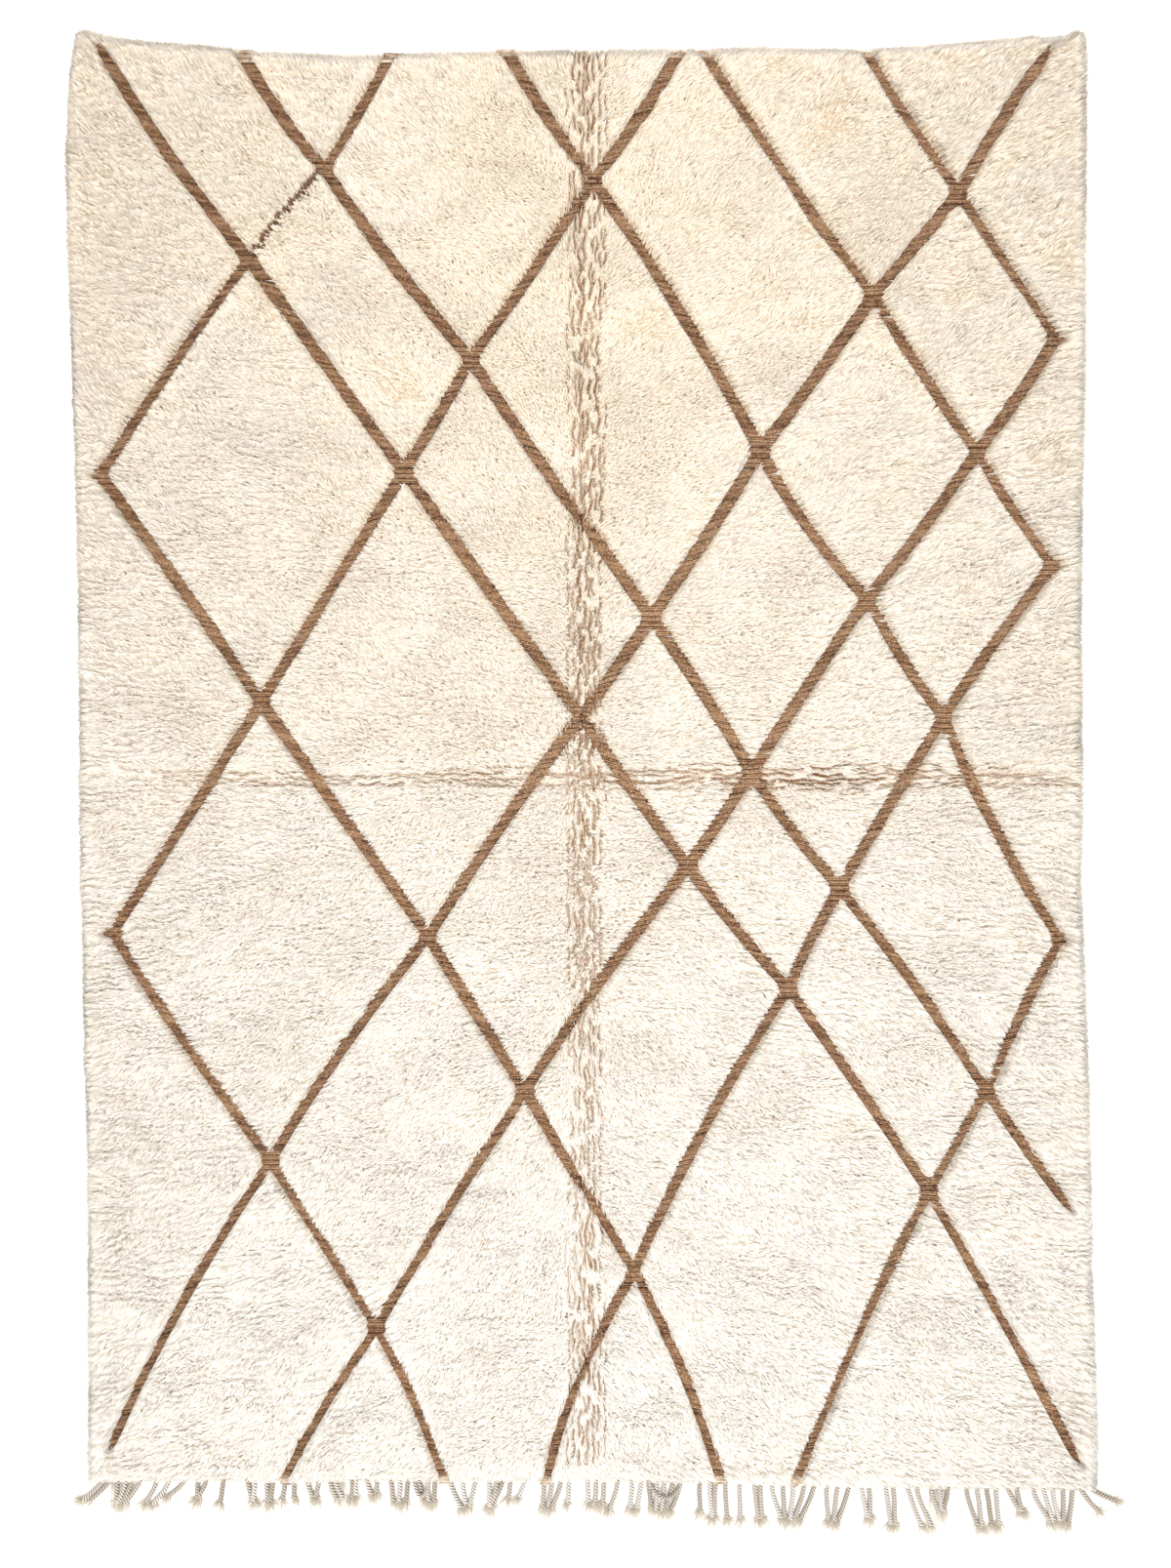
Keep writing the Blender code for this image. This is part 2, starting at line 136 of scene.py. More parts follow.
Edge = namedtuple("Edge", "along out")
LEFT_EDGE = (
    Edge(-1190, -822),
    Edge(-1000, -821),
    Edge(-680, -823),
    Edge(-355, -831),
    Edge(-30, -836),
    Edge(290, -839),
    Edge(620, -847),
    Edge(860, -857),
    Edge(1020, -859),
    Edge(1130, -852),
    Edge(1190, -838),
)
RIGHT_EDGE = (
    Edge(-1190, 858),
    Edge(-1130, 862),
    Edge(-1000, 857),
    Edge(-550, 847),
    Edge(-225, 835),
    Edge(35, 837),
    Edge(230, 834),
    Edge(455, 836),
    Edge(620, 840),
    Edge(1140, 842),
    Edge(1190, 836),
)
TOP_EDGE = (
    Edge(-838, 1196),
    Edge(-815, 1211),
    Edge(-770, 1203),
    Edge(-625, 1193),
    Edge(-525, 1179),
    Edge(-380, 1176),
    Edge(-90, 1184),
    Edge(150, 1184),
    Edge(300, 1190),
    Edge(445, 1184),
    Edge(590, 1194),
    Edge(740, 1206),
    Edge(785, 1200),
    Edge(812, 1212),
    Edge(836, 1196),
)
FOOT_EDGE = (
    Edge(-822, -1192),
    Edge(-430, -1191),
    Edge(10, -1191),
    Edge(220, -1194),
    Edge(446, -1200),
    Edge(656, -1204),
    Edge(858, -1206),
)
KNOTS = {
    "top1": (-791, 1180),
    "top2": (-550, 1160),
    "top3": (-315, 1160),
    "top4": (-115, 1165),
    "top5": (155, 1165),
    "top6": (205, 1165),
    "top7": (470, 1165),
    "top8": (768, 1175),
    "a": (-420, 975),
    "b": (20, 960),
    "c": (620, 940),
    "d": (-545, 830),
    "e": (480, 770),
    "f": (780, 700),
    "g": (-180, 665),
    "h": (295, 515),
    "i": (650, 512),
    "j": (-290, 480),
    "k": (-790, 475),
    "l": (775, 325),
    "m": (470, 270),
    "n": (115, 240),
    "o": (-525, 100),
    "p": (0, 75),
    "q": (595, 75),
    "r": (280, -15),
    "s": (175, -170),
    "t": (425, -205),
    "u": (-770, -280),
    "v": (-250, -285),
    "w": (787, -290),
    "x": (340, -370),
    "y": (-90, -540),
    "z": (667, -540),
    "A": (-510, -655),
    "B": (572, -705),
    "C": (805, -735),
    "D": (87, -835),
    "E": (-335, -930),
    "foot1": (-775, -1130),
    "foot2": (-485, -1172),
    "foot3": (-225, -1175),
    "foot4": (-55, -1175),
    "foot5": (228, -1178),
    "foot6": (355, -1180),
    "foot7": (820, -1155),
}
Line = namedtuple("Line", "knots bows")
LINES = (
    Line("top1 d j p s x B foot7", (-11, 0, 2, -2, -5, 3, 5)),
    Line("top2 a g n r t z C", (-8, -5, -3, 5, -6, 8, -2)),
    Line("top3 a d k o v y D foot5", (2, 0, -5, 3, 0, -1, -1, 11)),
    Line("top4 b h m q w z B foot6", (-5, 9, -14, -5, -9, -3, 0, -8)),
    Line("top5 b g j o u A E foot3", (6, 5, 2, 0, 0, -6, 0, 7)),
    Line("top6 e i l q t x D foot4", (-6, -2, -3, -3, 0, -3, -12, -15)),
    Line("top7 c f i m r s y E foot2", (-2, 0, 6, 5, -2, 2, -8, -5, -6)),
    Line("top8 c e h n p v A foot1", (-4, 3, 2, 3, 0, -6, -11, -15)),
)
THIN_STRETCH = ("a", "d")
PINCHED = ("b", "p", "D")  # crossings that the fold along the rug draws together
CROSSING = 8 * MM  # how far the other crossings reach aside
PALE_ENDS = ("top2", "top3", "top4", "top5", "top6", "top7", "foot2", "foot3", "foot4", "foot5", "foot6")
PALE_RUN = 17 * MM  # undyed rows past the far end of a brown line
FOOT_PALE_RUN = 7 * MM

Bunch = namedtuple("Bunch", "root_from root_to cords tip_from tip_to reach")
BUNCHES = (
    Bunch(-787, -776, 2, -826, -809, 49),
    Bunch(-766, -727, 4, -776, -748, 55),
    Bunch(-702, -681, 2, -718, -706, 57),
    Bunch(-654, -654, 1, -682, -682, 50),
    Bunch(-632, -619, 2, -640, -629, 49),
    Bunch(-590, -590, 1, -598, -598, 55),
    Bunch(-552, -541, 2, -548, -537, 52),
    Bunch(-520, -508, 2, -522, -511, 52),
    Bunch(-489, -475, 2, -495, -472, 47),
    Bunch(-455, -435, 2, -446, -434, 48),
    Bunch(-418, -406, 2, -406, -392, 48),
    Bunch(-379, -370, 2, -381, -371, 47),
    Bunch(-353, -339, 2, -348, -337, 42),
    Bunch(-316, -285, 3, -311, -288, 55),
    Bunch(-269, -240, 3, -262, -242, 52),
    Bunch(-217, -172, 3, -214, -169, 63),
    Bunch(-152, -127, 3, -157, -138, 60),
    Bunch(-113, -93, 2, -121, -101, 48),
    Bunch(-62, -32, 3, -68, -39, 63),
    Bunch(-17, -17, 1, -22, -22, 55),
    Bunch(12, 39, 3, 12, 37, 58),
    Bunch(62, 62, 1, 50, 50, 66),
    Bunch(83, 102, 2, 80, 97, 62),
    Bunch(111, 167, 5, 115, 154, 63),
    Bunch(198, 198, 1, 197, 197, 72),
    Bunch(214, 225, 2, 213, 224, 76),
    Bunch(239, 264, 2, 241, 266, 80),
    Bunch(288, 299, 2, 292, 302, 76),
    Bunch(316, 388, 5, 315, 381, 76),
    Bunch(408, 446, 3, 402, 434, 78),
    Bunch(464, 477, 2, 473, 484, 74),
    Bunch(504, 517, 2, 512, 526, 80),
    Bunch(540, 556, 2, 565, 579, 85),
    Bunch(579, 608, 3, 588, 607, 60),
    Bunch(638, 655, 2, 655, 668, 82),
    Bunch(671, 687, 2, 683, 694, 78),
    Bunch(705, 721, 2, 725, 736, 58),
    Bunch(749, 815, 5, 761, 824, 72),
    Bunch(826, 826, 1, 857, 857, 56),
    Bunch(843, 843, 1, 884, 884, 42),
)
LOOPS = ((113, 168, 21), (-276, -250, 20))  # mm across the rug from and to, and how far each hangs out
FLAT_ENDS = ((-764, 26, 46), (-404, 26, 44), (592, 24, 58))  # mm across the rug, how wide and how long


def in_metres(rows):
    """A table's rows as an array in metres."""
    return np.array(rows, dtype=float) * MM


LEFT, RIGHT, TOP, FOOT = (in_metres(rows) for rows in (LEFT_EDGE, RIGHT_EDGE, TOP_EDGE, FOOT_EDGE))
KNOT_AT = {name: np.array(place) * MM for name, place in KNOTS.items()}

# ---------------------------------------------------------------- plan and heights


def smooth(value):
    """An even step from 0 to 1."""
    value = np.clip(value, 0, 1)
    return value * value * (3 - 2 * value)


def swell(x, y, seed):
    """Smooth uneven noise from about -1 to 1, with about one swell a unit each way."""
    size = 256
    slope = np.random.default_rng(seed).normal(0, 1, (size, size, 2))
    column, row = np.floor(x).astype(int), np.floor(y).astype(int)
    u, v = x - column, y - row

    def corner(i, j):
        pull = slope[(column + i) % size, (row + j) % size]
        return pull[..., 0] * (u - i) + pull[..., 1] * (v - j)

    across, up = smooth(u), smooth(v)
    near = corner(0, 0) * (1 - across) + corner(1, 0) * across
    far = corner(0, 1) * (1 - across) + corner(1, 1) * across
    return 1.2 * (near * (1 - up) + far * up)


def edge_at(edge, along, inset=TIP_INSET):
    """How far out the weave reaches on one side, the given inset inside the shag's tips."""
    out = np.interp(along, edge[:, 0], edge[:, 1])
    return out - np.sign(out) * inset


def edge_distances(x, y, inset=TIP_INSET):
    """Distances in from the left, right, top and foot edges of the weave, or of the shag's tips."""
    return np.array((
        x - edge_at(LEFT, y, inset),
        edge_at(RIGHT, y, inset) - x,
        edge_at(TOP, x, inset) - y,
        y - edge_at(FOOT, x, 0),
    ))


def line_stretches():
    """Every short straight piece of the brown lines: its ends, half width and whether it is pale.

    The stretch that is grown over comes apart, because its brown stands up among the white.
    """
    stretches, overgrown = [], []
    for line in LINES:
        names = line.knots.split()
        route = [KNOT_AT[names[0]]]
        widths = []
        for i, bow in enumerate(line.bows):
            a, b = KNOT_AT[names[i]], KNOT_AT[names[i + 1]]
            thin = (names[i], names[i + 1]) == THIN_STRETCH
            count = max(2, round(math.dist(a, b) / LINE_STEP))
            for step in range(1, count + 1):
                t = step / count
                route.append(a + (b - a) * t + (bow * MM * 4 * t * (1 - t), 0))
                narrowed = np.interp(route[-1][1], (-1.2, -0.7, 0.3), (0.74, 0.86, 1))
                widths.append(THIN_LINE_WIDTH if thin else LINE_WIDTH * narrowed)
        for i, (a, b, width) in enumerate(zip(route[:-1], route[1:], widths)):
            kind = overgrown if width == THIN_LINE_WIDTH else stretches
            first = i == 0 and names[0] not in PALE_ENDS
            last = i == len(widths) - 1 and names[-1] not in PALE_ENDS
            if not (first or last):
                kind.append((a, b, width / 2, False))
                continue
            # A line that stops among the shag narrows to its end.
            end, inside = (a, b) if first else (b, a)
            for t, share in ((0, 0.5), (1, 0.75), (2, 0.9), (3, 1)):
                near, far = end + (inside - end) * t / 8, end + (inside - end) * (t + 1) / 8
                kind.append((near, inside if t == 3 else far, width / 2 * share, False))
        for name in names[1:-1]:
            if name not in PINCHED:
                left, right = KNOT_AT[name] - (CROSSING, 0), KNOT_AT[name] + (CROSSING, 0)
                stretches.append((left, right, LINE_WIDTH * 0.4, False))
        for end, inside in ((0, 1), (-1, -2)):
            if names[end] in PALE_ENDS:
                way = route[end] - route[inside]
                way = way / np.hypot(*way)
                run = PALE_RUN if way[1] > 0 else FOOT_PALE_RUN
                stretches.append((route[end], route[end] + way * run, widths[end] / 2, True))
    return stretches, overgrown


STRETCHES, OVERGROWN = line_stretches()


def from_lines(x, y, stretches):
    """Distance out from the edge of the nearest of these lines, the way to its middle, and if it is pale."""
    best = np.full(x.shape, 1.0)
    way_x, way_y, is_pale = np.zeros(x.shape), np.zeros(x.shape), np.zeros(x.shape)
    for a, b, half, pale in stretches:
        run = b - a
        t = np.clip(((x - a[0]) * run[0] + (y - a[1]) * run[1]) / (run @ run), 0, 1)
        dx, dy = a[0] + run[0] * t - x, a[1] + run[1] * t - y
        reach = np.hypot(dx, dy)
        nearer = reach - half < best
        best = np.where(nearer, reach - half, best)
        way_x = np.where(nearer, dx / (reach + 1e-9), way_x)
        way_y = np.where(nearer, dy / (reach + 1e-9), way_y)
        is_pale = np.where(nearer, float(pale), is_pale)
    best = best + PINCH * np.exp(-(((x - CREASE_ALONG_X) / (18 * MM)) ** 2))
    return best, way_x, way_y, is_pale


def curl(x, y):
    """How far the two far corners lift off the floor."""
    return CURL_HEIGHT * np.clip((np.abs(x) + y - CURL_START) / CURL_RUN, 0, None) ** 2


def crease_shares(x, y):
    """How strongly the fold along the rug and the fold across it show here, from 0 to 1."""
    along = np.exp(-(((x - CREASE_ALONG_X) / (30 * MM)) ** 2))
    across = np.exp(-(((y - CREASE_ACROSS_Y) / (22 * MM)) ** 2))
    along_strength = np.interp(y, (-1.2, -0.9, -0.6, -0.3, 0.1, 0.5, 1.2), (0.8, 0.85, 0.6, 0.8, 1, 1, 1))
    across_strength = np.interp(
        x, (-0.8, -0.5, -0.25, 0.05, 0.3, 0.65, 0.8), (0.25, 0.6, 0.5, 0.7, 1, 1, 0.3)
    )
    return along * along_strength, across * across_strength


def stepped_gap(x, y):
    """Distance from the brown lines where, above a line, the shag stops in steps, as the rows do."""
    gap, way_x, way_y, _ = from_lines(x, y, STRETCHES)
    group = np.floor((y / RIB_PITCH + 0.5) / GROUP)
    stepped = from_lines(x, (group + 0.5) * GROUP * RIB_PITCH, STRETCHES)[0]
    stepped += 1.2 * MM * swell(x / (25 * MM), 5.7 * group, 23)
    return np.where(way_y < 0, stepped, gap), way_x, way_y


def open_shag(x, y):
    """Height of the shag away from the brown lines, with its lumps, creases and rolled rim."""
    roll = smooth(edge_distances(x, y).min(0) / RIM_ROLL)
    places = np.stack((x, y), -1) / LUMP_SIZE
    lump = np.array([noise.noise(Vector((u, v, 0))) for u, v in places]) * 2 * LUMP_DEPTH
    along = 1 - np.abs(x - CREASE_ALONG_X) / (CREASE_WIDTH / 2)
    across = 1 - np.abs(y - CREASE_ACROSS_Y) / (CREASE_WIDTH / 2)
    crease = CREASE_DEPTH * smooth(np.maximum(along, across))
    return RIM_HEIGHT + (SHAG_HEIGHT - RIM_HEIGHT + lump - crease) * roll


def shag_height(x, y, gap):
    """Height of the shag's surface, which falls to the brown lines in steep banks."""
    return LINE_HEIGHT + (open_shag(x, y) - LINE_HEIGHT) * smooth(0.55 + gap / BANK)


def shag_slope(x, y):
    """How steeply the open shag rises along and across the rug."""
    step = 4 * MM
    here = open_shag(x, y)
    return (open_shag(x + step, y) - here) / step, (open_shag(x, y + step) - here) / step


# ---------------------------------------------------------------- mesh helper


def joined_mesh(name, points, triangles, material, numbers=None, patches=None, facing=None):
    """One object from arrays of points and triangles, with numbers and facing at each point."""
    data = bpy.data.meshes.new(name)
    data.vertices.add(len(points))
    data.vertices.foreach_set("co", points.astype(np.float32).ravel())
    data.loops.add(len(triangles) * 3)
    data.loops.foreach_set("vertex_index", triangles.astype(np.int32).ravel())
    data.polygons.add(len(triangles))
    data.polygons.foreach_set("loop_start", np.arange(0, len(triangles) * 3, 3, dtype=np.int32))
    data.polygons.foreach_set("use_smooth", np.ones(len(triangles), dtype=bool))
    data.update(calc_edges=True)
    for key, values in (numbers or {}).items():
        data.attributes.new(key, "FLOAT", "POINT").data.foreach_set("value", values.astype(np.float32))
    if patches is not None:
        layer = data.uv_layers.new(name="OFBake")
        layer.uv.foreach_set("vector", patches.astype(np.float32).ravel())
    if facing is not None:
        facing = facing / np.linalg.norm(facing, axis=1)[:, None]
        data.normals_split_custom_set_from_vertices(facing.tolist())
    data.materials.append(material)
    made = bpy.data.objects.new(name, data)
    bpy.context.scene.collection.objects.link(made)
    return made


# ---------------------------------------------------------------- materials

COLOUR = 2  # the output of a mix of two colours
MIX = {"data_type": "RGBA"}
DYE = {"data_type": "RGBA", "blend_type": "MULTIPLY", 0: 1.0}


def linear(colour):
    """An sRGB hex colour as a linear one."""
    parts = [int(colour[i:i + 2], 16) / 255 for i in (1, 3, 5)]
    return (*[c / 12.92 if c <= 0.04045 else ((c + 0.055) / 1.055) ** 2.4 for c in parts], 1)


def add_node(tree, kind, output=0, settings=None, links=None):
    """Adds a node with its settings, socket values and links, and gives one of its outputs."""
    node = tree.nodes.new(kind)
    for key, value in (settings or {}).items():
        if key == "stops":
            elements = node.color_ramp.elements
            for (place, colour), element in zip(value, [*elements, *[None] * len(value)]):
                element = element or elements.new(place)
                element.position = place
                element.color = linear(colour)
        elif isinstance(key, int) or key in node.inputs:
            node.inputs[key].default_value = value
        else:
            setattr(node, key, value)
    for key, source in (links or {}).items():
        tree.links.new(source, node.inputs[key])
    return node.outputs[output]


def new_wool(name, roughness=0.95, sheen=0.06):
    """A wool material and its shader: dull, with the soft sheen of its fibres."""
    wool = bpy.data.materials.new(name)
    wool.use_nodes = True
    shader = wool.node_tree.nodes["Principled BSDF"]
    shader.inputs["Roughness"].default_value = roughness
    shader.inputs["IOR"].default_value = 1.5
    shader.inputs["Specular IOR Level"].default_value = 0.2
    shader.inputs["Sheen Weight"].default_value = sheen
    shader.inputs["Sheen Roughness"].default_value = 0.6
    return wool, wool.node_tree, shader


def shag_wool():
    """Undyed sheep's wool, spun thick and cut: cream tips, painted tan down at the knots and brown in the
    slits as shade, and painted warmer in places as warm light.
    """
    wool, tree, shader = new_wool("shag_wool")
    height, side, tint, tone, cleft, brown = (
        add_node(tree, "ShaderNodeAttribute", "Fac", {"attribute_name": key})
        for key in ("height", "side", "tint", "tone", "cleft", "brown")
    )
    # Painted shade: both ramps darken the strand from its tip down to its root, as shade does deep in the
    # pile.
    neutral_lit_stops = ((0, "#D8D3CD"), (0.5, "#ECEAE7"), (0.8, "#F8F8F8"), (1, "#FDFDFD"))
    neutral_lit = add_node(tree, "ShaderNodeValToRGB", 0, {"stops": neutral_lit_stops}, {0: height})
    warm_lit_stops = ((0, "#D8C6AC"), (0.5, "#ECE0CF"), (0.8, "#F6EFE5"), (1, "#FDF9F4"))
    warm_lit = add_node(tree, "ShaderNodeValToRGB", 0, {"stops": warm_lit_stops}, {0: height})
    # Painted warm light: the tone mixes the neutral ramp toward the warm one, as warmer light would tint the
    # wool; some random tone is in it too.
    tone_colour = add_node(tree, "ShaderNodeMix", COLOUR, MIX, {0: tone, 6: neutral_lit, 7: warm_lit})
    strand_stops = ((0, "#D0CCC6"), (0.45, "#F3F1EE"), (1, "#FFFFFF"))
    strand = add_node(tree, "ShaderNodeValToRGB", 0, {"stops": strand_stops}, {0: tint})
    tinted = add_node(tree, "ShaderNodeMix", COLOUR, DYE, {6: tone_colour, 7: strand})
    # Painted shade: the yarn is darker round its sides, where it turns down into the pile.
    width = add_node(tree, "ShaderNodeMath", 0, {"operation": "SUBTRACT", 0: 1.04}, {1: height})
    aside = add_node(tree, "ShaderNodeMath", 0, {"operation": "ABSOLUTE"}, {0: side})
    across = add_node(tree, "ShaderNodeMath", 0, {"operation": "DIVIDE"}, {0: aside, 1: width})
    edge_stops = ((0, "#FFFFFF"), (0.45, "#FAF7F3"), (1, "#DDD2C3"))
    edge = add_node(tree, "ShaderNodeValToRGB", 0, {"stops": edge_stops}, {0: across})
    rounded = add_node(tree, "ShaderNodeMix", COLOUR, DYE, {6: tinted, 7: edge})
    # Painted shade: strands lying in a slit are painted dark brown, for the shade down in it, and darker
    # still toward their roots.
    deep_stops = ((0, "#805229"), (0.7, "#9A6B3C"), (1, "#B0834E"))
    deep = add_node(tree, "ShaderNodeValToRGB", 0, {"stops": deep_stops}, {0: height})
    opened = add_node(tree, "ShaderNodeMix", COLOUR, MIX, {0: cleft, 6: rounded, 7: deep})
    # The brown wool of an overgrown line, its own colour, painted darker down to its roots as shade.
    dark_stops = ((0, "#49321F"), (0.7, "#6E5039"), (1, "#8B6B50"))
    dark = add_node(tree, "ShaderNodeValToRGB", 0, {"stops": dark_stops}, {0: height})
    colour = add_node(tree, "ShaderNodeMix", COLOUR, MIX, {0: brown, 6: opened, 7: dark})
    tree.links.new(colour, shader.inputs["Base Color"])
    # Fine fibres wind up the strand.
    leaning = add_node(tree, "ShaderNodeMath", 0, {"operation": "MULTIPLY", 1: 9.0}, {0: side})
    wound = add_node(
        tree, "ShaderNodeMath", 0, {"operation": "MULTIPLY_ADD", 1: 18.0}, {0: height, 2: leaning}
    )
    fibres = add_node(tree, "ShaderNodeMath", 0, {"operation": "SINE"}, {0: wound})
    relief = add_node(tree, "ShaderNodeBump", 0, {"Strength": 0.3, "Distance": 0.4 * MM}, {"Height": fibres})
    tree.links.new(relief, shader.inputs["Normal"])
    return wool


def row_wool():
    """Natural brown wool, knotted in low rows and clipped: taupe ridges, with painted shade darkening the
    gaps between them.
    """
    wool, tree, shader = new_wool("row_wool")
    height, tint, pale = (
        add_node(tree, "ShaderNodeAttribute", "Fac", {"attribute_name": key})
        for key in ("height", "tint", "pale")
    )
    place = add_node(tree, "ShaderNodeTexCoord", "Object")
    # The twist of the yarn shows as flecks about 2 mm across.
    twist_space = add_node(
        tree, "ShaderNodeMapping", 0, {"Rotation": (0, 0, 0.9), "Scale": (1, 0.45, 1)}, {"Vector": place}
    )
    twist = add_node(
        tree, "ShaderNodeTexNoise", "Fac", {"Scale": 1 / (2.2 * MM), "Detail": 2.0}, {"Vector": twist_space}
    )
    lit = add_node(tree, "ShaderNodeMath", 0, {"operation": "MULTIPLY_ADD", 1: 1.2, 2: -0.6}, {0: twist})
    level = add_node(tree, "ShaderNodeMath", 0, {"operation": "ADD", "use_clamp": True}, {0: height, 1: lit})
    # Painted shade: the height number darkens the colour down into the gaps between rows and at the slit.
    brown_stops = ((0, "#4E3523"), (0.3, "#74573F"), (0.65, "#9B7B5E"), (1, "#C6A78A"))
    brown = add_node(tree, "ShaderNodeValToRGB", 0, {"stops": brown_stops}, {0: level})
    undyed_stops = ((0, "#B9A48A"), (0.45, "#D6C8B4"), (0.8, "#E5DBCC"), (1, "#F0E9DE"))
    undyed = add_node(tree, "ShaderNodeValToRGB", 0, {"stops": undyed_stops}, {0: level})
    chosen = add_node(tree, "ShaderNodeMix", COLOUR, MIX, {0: pale, 6: brown, 7: undyed})
    lot_stops = ((0, "#86746A"), (0.5, "#CFC2B6"), (1, "#FFFFFF"))
    tone_colour = add_node(tree, "ShaderNodeValToRGB", 0, {"stops": lot_stops}, {0: tint})
    colour = add_node(tree, "ShaderNodeMix", COLOUR, DYE, {6: chosen, 7: tone_colour})
    tree.links.new(colour, shader.inputs["Base Color"])
    relief = add_node(tree, "ShaderNodeBump", 0, {"Strength": 0.6, "Distance": 0.8 * MM}, {"Height": twist})
    tree.links.new(relief, shader.inputs["Normal"])
    return wool


def ground_wool():
    """Plain-woven wool: over-and-under threads about 3 mm apart."""
    wool, tree, shader = new_wool("ground_wool")
    place = add_node(tree, "ShaderNodeTexCoord", "Object")
    warp, weft = (
        add_node(
            tree,
            "ShaderNodeTexWave",
            "Fac",
            {"bands_direction": way, "Scale": 1 / (20 * 3 * MM), "Distortion": 1.0},
            {"Vector": place},
        )
        for way in ("X", "Y")
    )
    weave = add_node(tree, "ShaderNodeMath", 0, {"operation": "MULTIPLY"}, {0: warp, 1: weft})
    stops = ((0, "#CFC6B8"), (0.5, "#E0D9CD"), (1, "#ECE6DC"))
    colour = add_node(tree, "ShaderNodeValToRGB", 0, {"stops": stops}, {0: weave})
    tree.links.new(colour, shader.inputs["Base Color"])
    relief = add_node(tree, "ShaderNodeBump", 0, {"Strength": 0.8, "Distance": 1 * MM}, {"Height": weave})
    tree.links.new(relief, shader.inputs["Normal"])
    return wool


def warp_wool():
    """Plied warp yarn: greyish cream, with painted shade darker in the grooves between its plies, frayed to
    pale fibres at its end.
    """
    wool, tree, shader = new_wool("warp_wool")
    height, tint, frayed = (
        add_node(tree, "ShaderNodeAttribute", "Fac", {"attribute_name": key})
        for key in ("height", "tint", "frayed")
    )
    # Painted shade: the colour darkens from each ply's crown into the groove beside it.
    ply_stops = ((0, "#524B45"), (0.4, "#8F857B"), (0.85, "#D0CAC3"), (1, "#EFEDE9"))
    ply = add_node(tree, "ShaderNodeValToRGB", 0, {"stops": ply_stops}, {0: height})
    lot_stops = ((0, "#CFC8BF"), (0.6, "#ECE8E2"), (1, "#FFFFFF"))
    tone_colour = add_node(tree, "ShaderNodeValToRGB", 0, {"stops": lot_stops}, {0: tint})
    fibre_stops = ((0, "#857968"), (0.4, "#ADA292"), (0.75, "#CFC8BC"), (1, "#E8E4DD"))
    fibre = add_node(tree, "ShaderNodeValToRGB", 0, {"stops": fibre_stops}, {0: height})
    cord = add_node(tree, "ShaderNodeMix", COLOUR, DYE, {6: ply, 7: tone_colour})
    colour = add_node(tree, "ShaderNodeMix", COLOUR, MIX, {0: frayed, 6: cord, 7: fibre})
    tree.links.new(colour, shader.inputs["Base Color"])
    return wool


# ---------------------------------------------------------------- shag


def max_of(arrays):
    """The largest of several arrays at each place."""
    return np.maximum.reduce(arrays)


Slit = namedtuple("Slit", "x y upright length depth sway phase")


def fold_slits():
    """The wavy slits that open in the shag along the two folds, one after another in a few lanes."""
    chance = np.random.default_rng(61)
    slits = []
    for upright, lanes, start, stop in ((True, LANES_ALONG, -1.17, 1.17), (False, LANES_ACROSS, -0.7, 0.82)):
        for lane in lanes:
            at = start + chance.uniform(0, 30) * MM
            while at < stop:
                length = chance.uniform(*((22, 80) if upright else (40, 140))) * MM
                offset = (lane + chance.normal(0, 1.8)) * MM
                middle = at + length / 2
                place = (CREASE_ALONG_X + offset, middle) if upright else (middle, CREASE_ACROSS_Y + offset)
                depth = crease_shares(*place)[0 if upright else 1] * chance.uniform(0.65, 1.2)
                sway, phase = chance.uniform(0.8, 2.4) * MM, chance.uniform(0, 6)
                slits.append(Slit(*place, upright, length, depth, sway, phase))
                at += length + chance.uniform(2, 18) * MM
    return [slit for slit in slits if slit.depth > 0.3]


def slit_pull(x, y, lean):
    """How the strands at the slits lean clear of them, and which lie down in one.

    Gives the new lean, how deep in a slit each strand is and how much it is a slit's bank, and the ways
    off to the slit's middle and along it.
    """
    cleft, bank = np.zeros(x.size), np.zeros(x.size)
    shift, lie = np.zeros((2, x.size)), np.zeros((2, x.size))
    for slit in fold_slits():
        around = slit.length / 2 + 10 * MM
        near = np.flatnonzero((np.abs(x - slit.x) < around) & (np.abs(y - slit.y) < around))
        dx, dy = x[near] - slit.x, y[near] - slit.y
        along, across = (dy, dx) if slit.upright else (dx, dy)
        off = across - slit.sway * np.sin(along / SLIT_BEND + slit.phase)
        share = slit.depth * smooth((slit.length / 2 - np.abs(along)) / (4 * MM))
        axis = 0 if slit.upright else 1
        reach = np.abs(off)
        away = lean[axis, near] * np.sign(off) + 3 * MM * np.clip(1 - reach / SLIT_PULL, 0, 1) * share
        clear = SLIT_WIDTH * 0.5 * np.clip(1.6 * share, 0, 1) - reach - 8 * MM * np.clip(0.5 - share, 0, 1)
        lean[axis, near] = np.maximum(away, clear) * np.sign(off)
        beside = np.clip(1.5 - reach / (3.5 * MM), 0, 1) * np.clip(share, 0, 1)
        bank[near] = np.maximum(bank[near], beside)
        inside = (reach < SLIT_WIDTH / 2) & (share > cleft[near])
        chosen = near[inside]
        cleft[chosen] = np.clip(share[inside], 0, 1)
        shift[:, chosen] = 0
        shift[axis, chosen] = -off[inside]
        lie[:, chosen] = 0
        lie[1 - axis, chosen] = 1
        lie[axis, chosen] = slit.sway * np.cos(along[inside] / SLIT_BEND + slit.phase) / SLIT_BEND
    return lean, cleft, bank, shift, lie


def far_middle(x, y, width=0.4):
    """How near a place is to the middle of the rug's far half, where the pile is calm and painted warmest."""
    return np.exp(-((x / width) ** 2) - ((y - 0.8) / 0.5) ** 2)


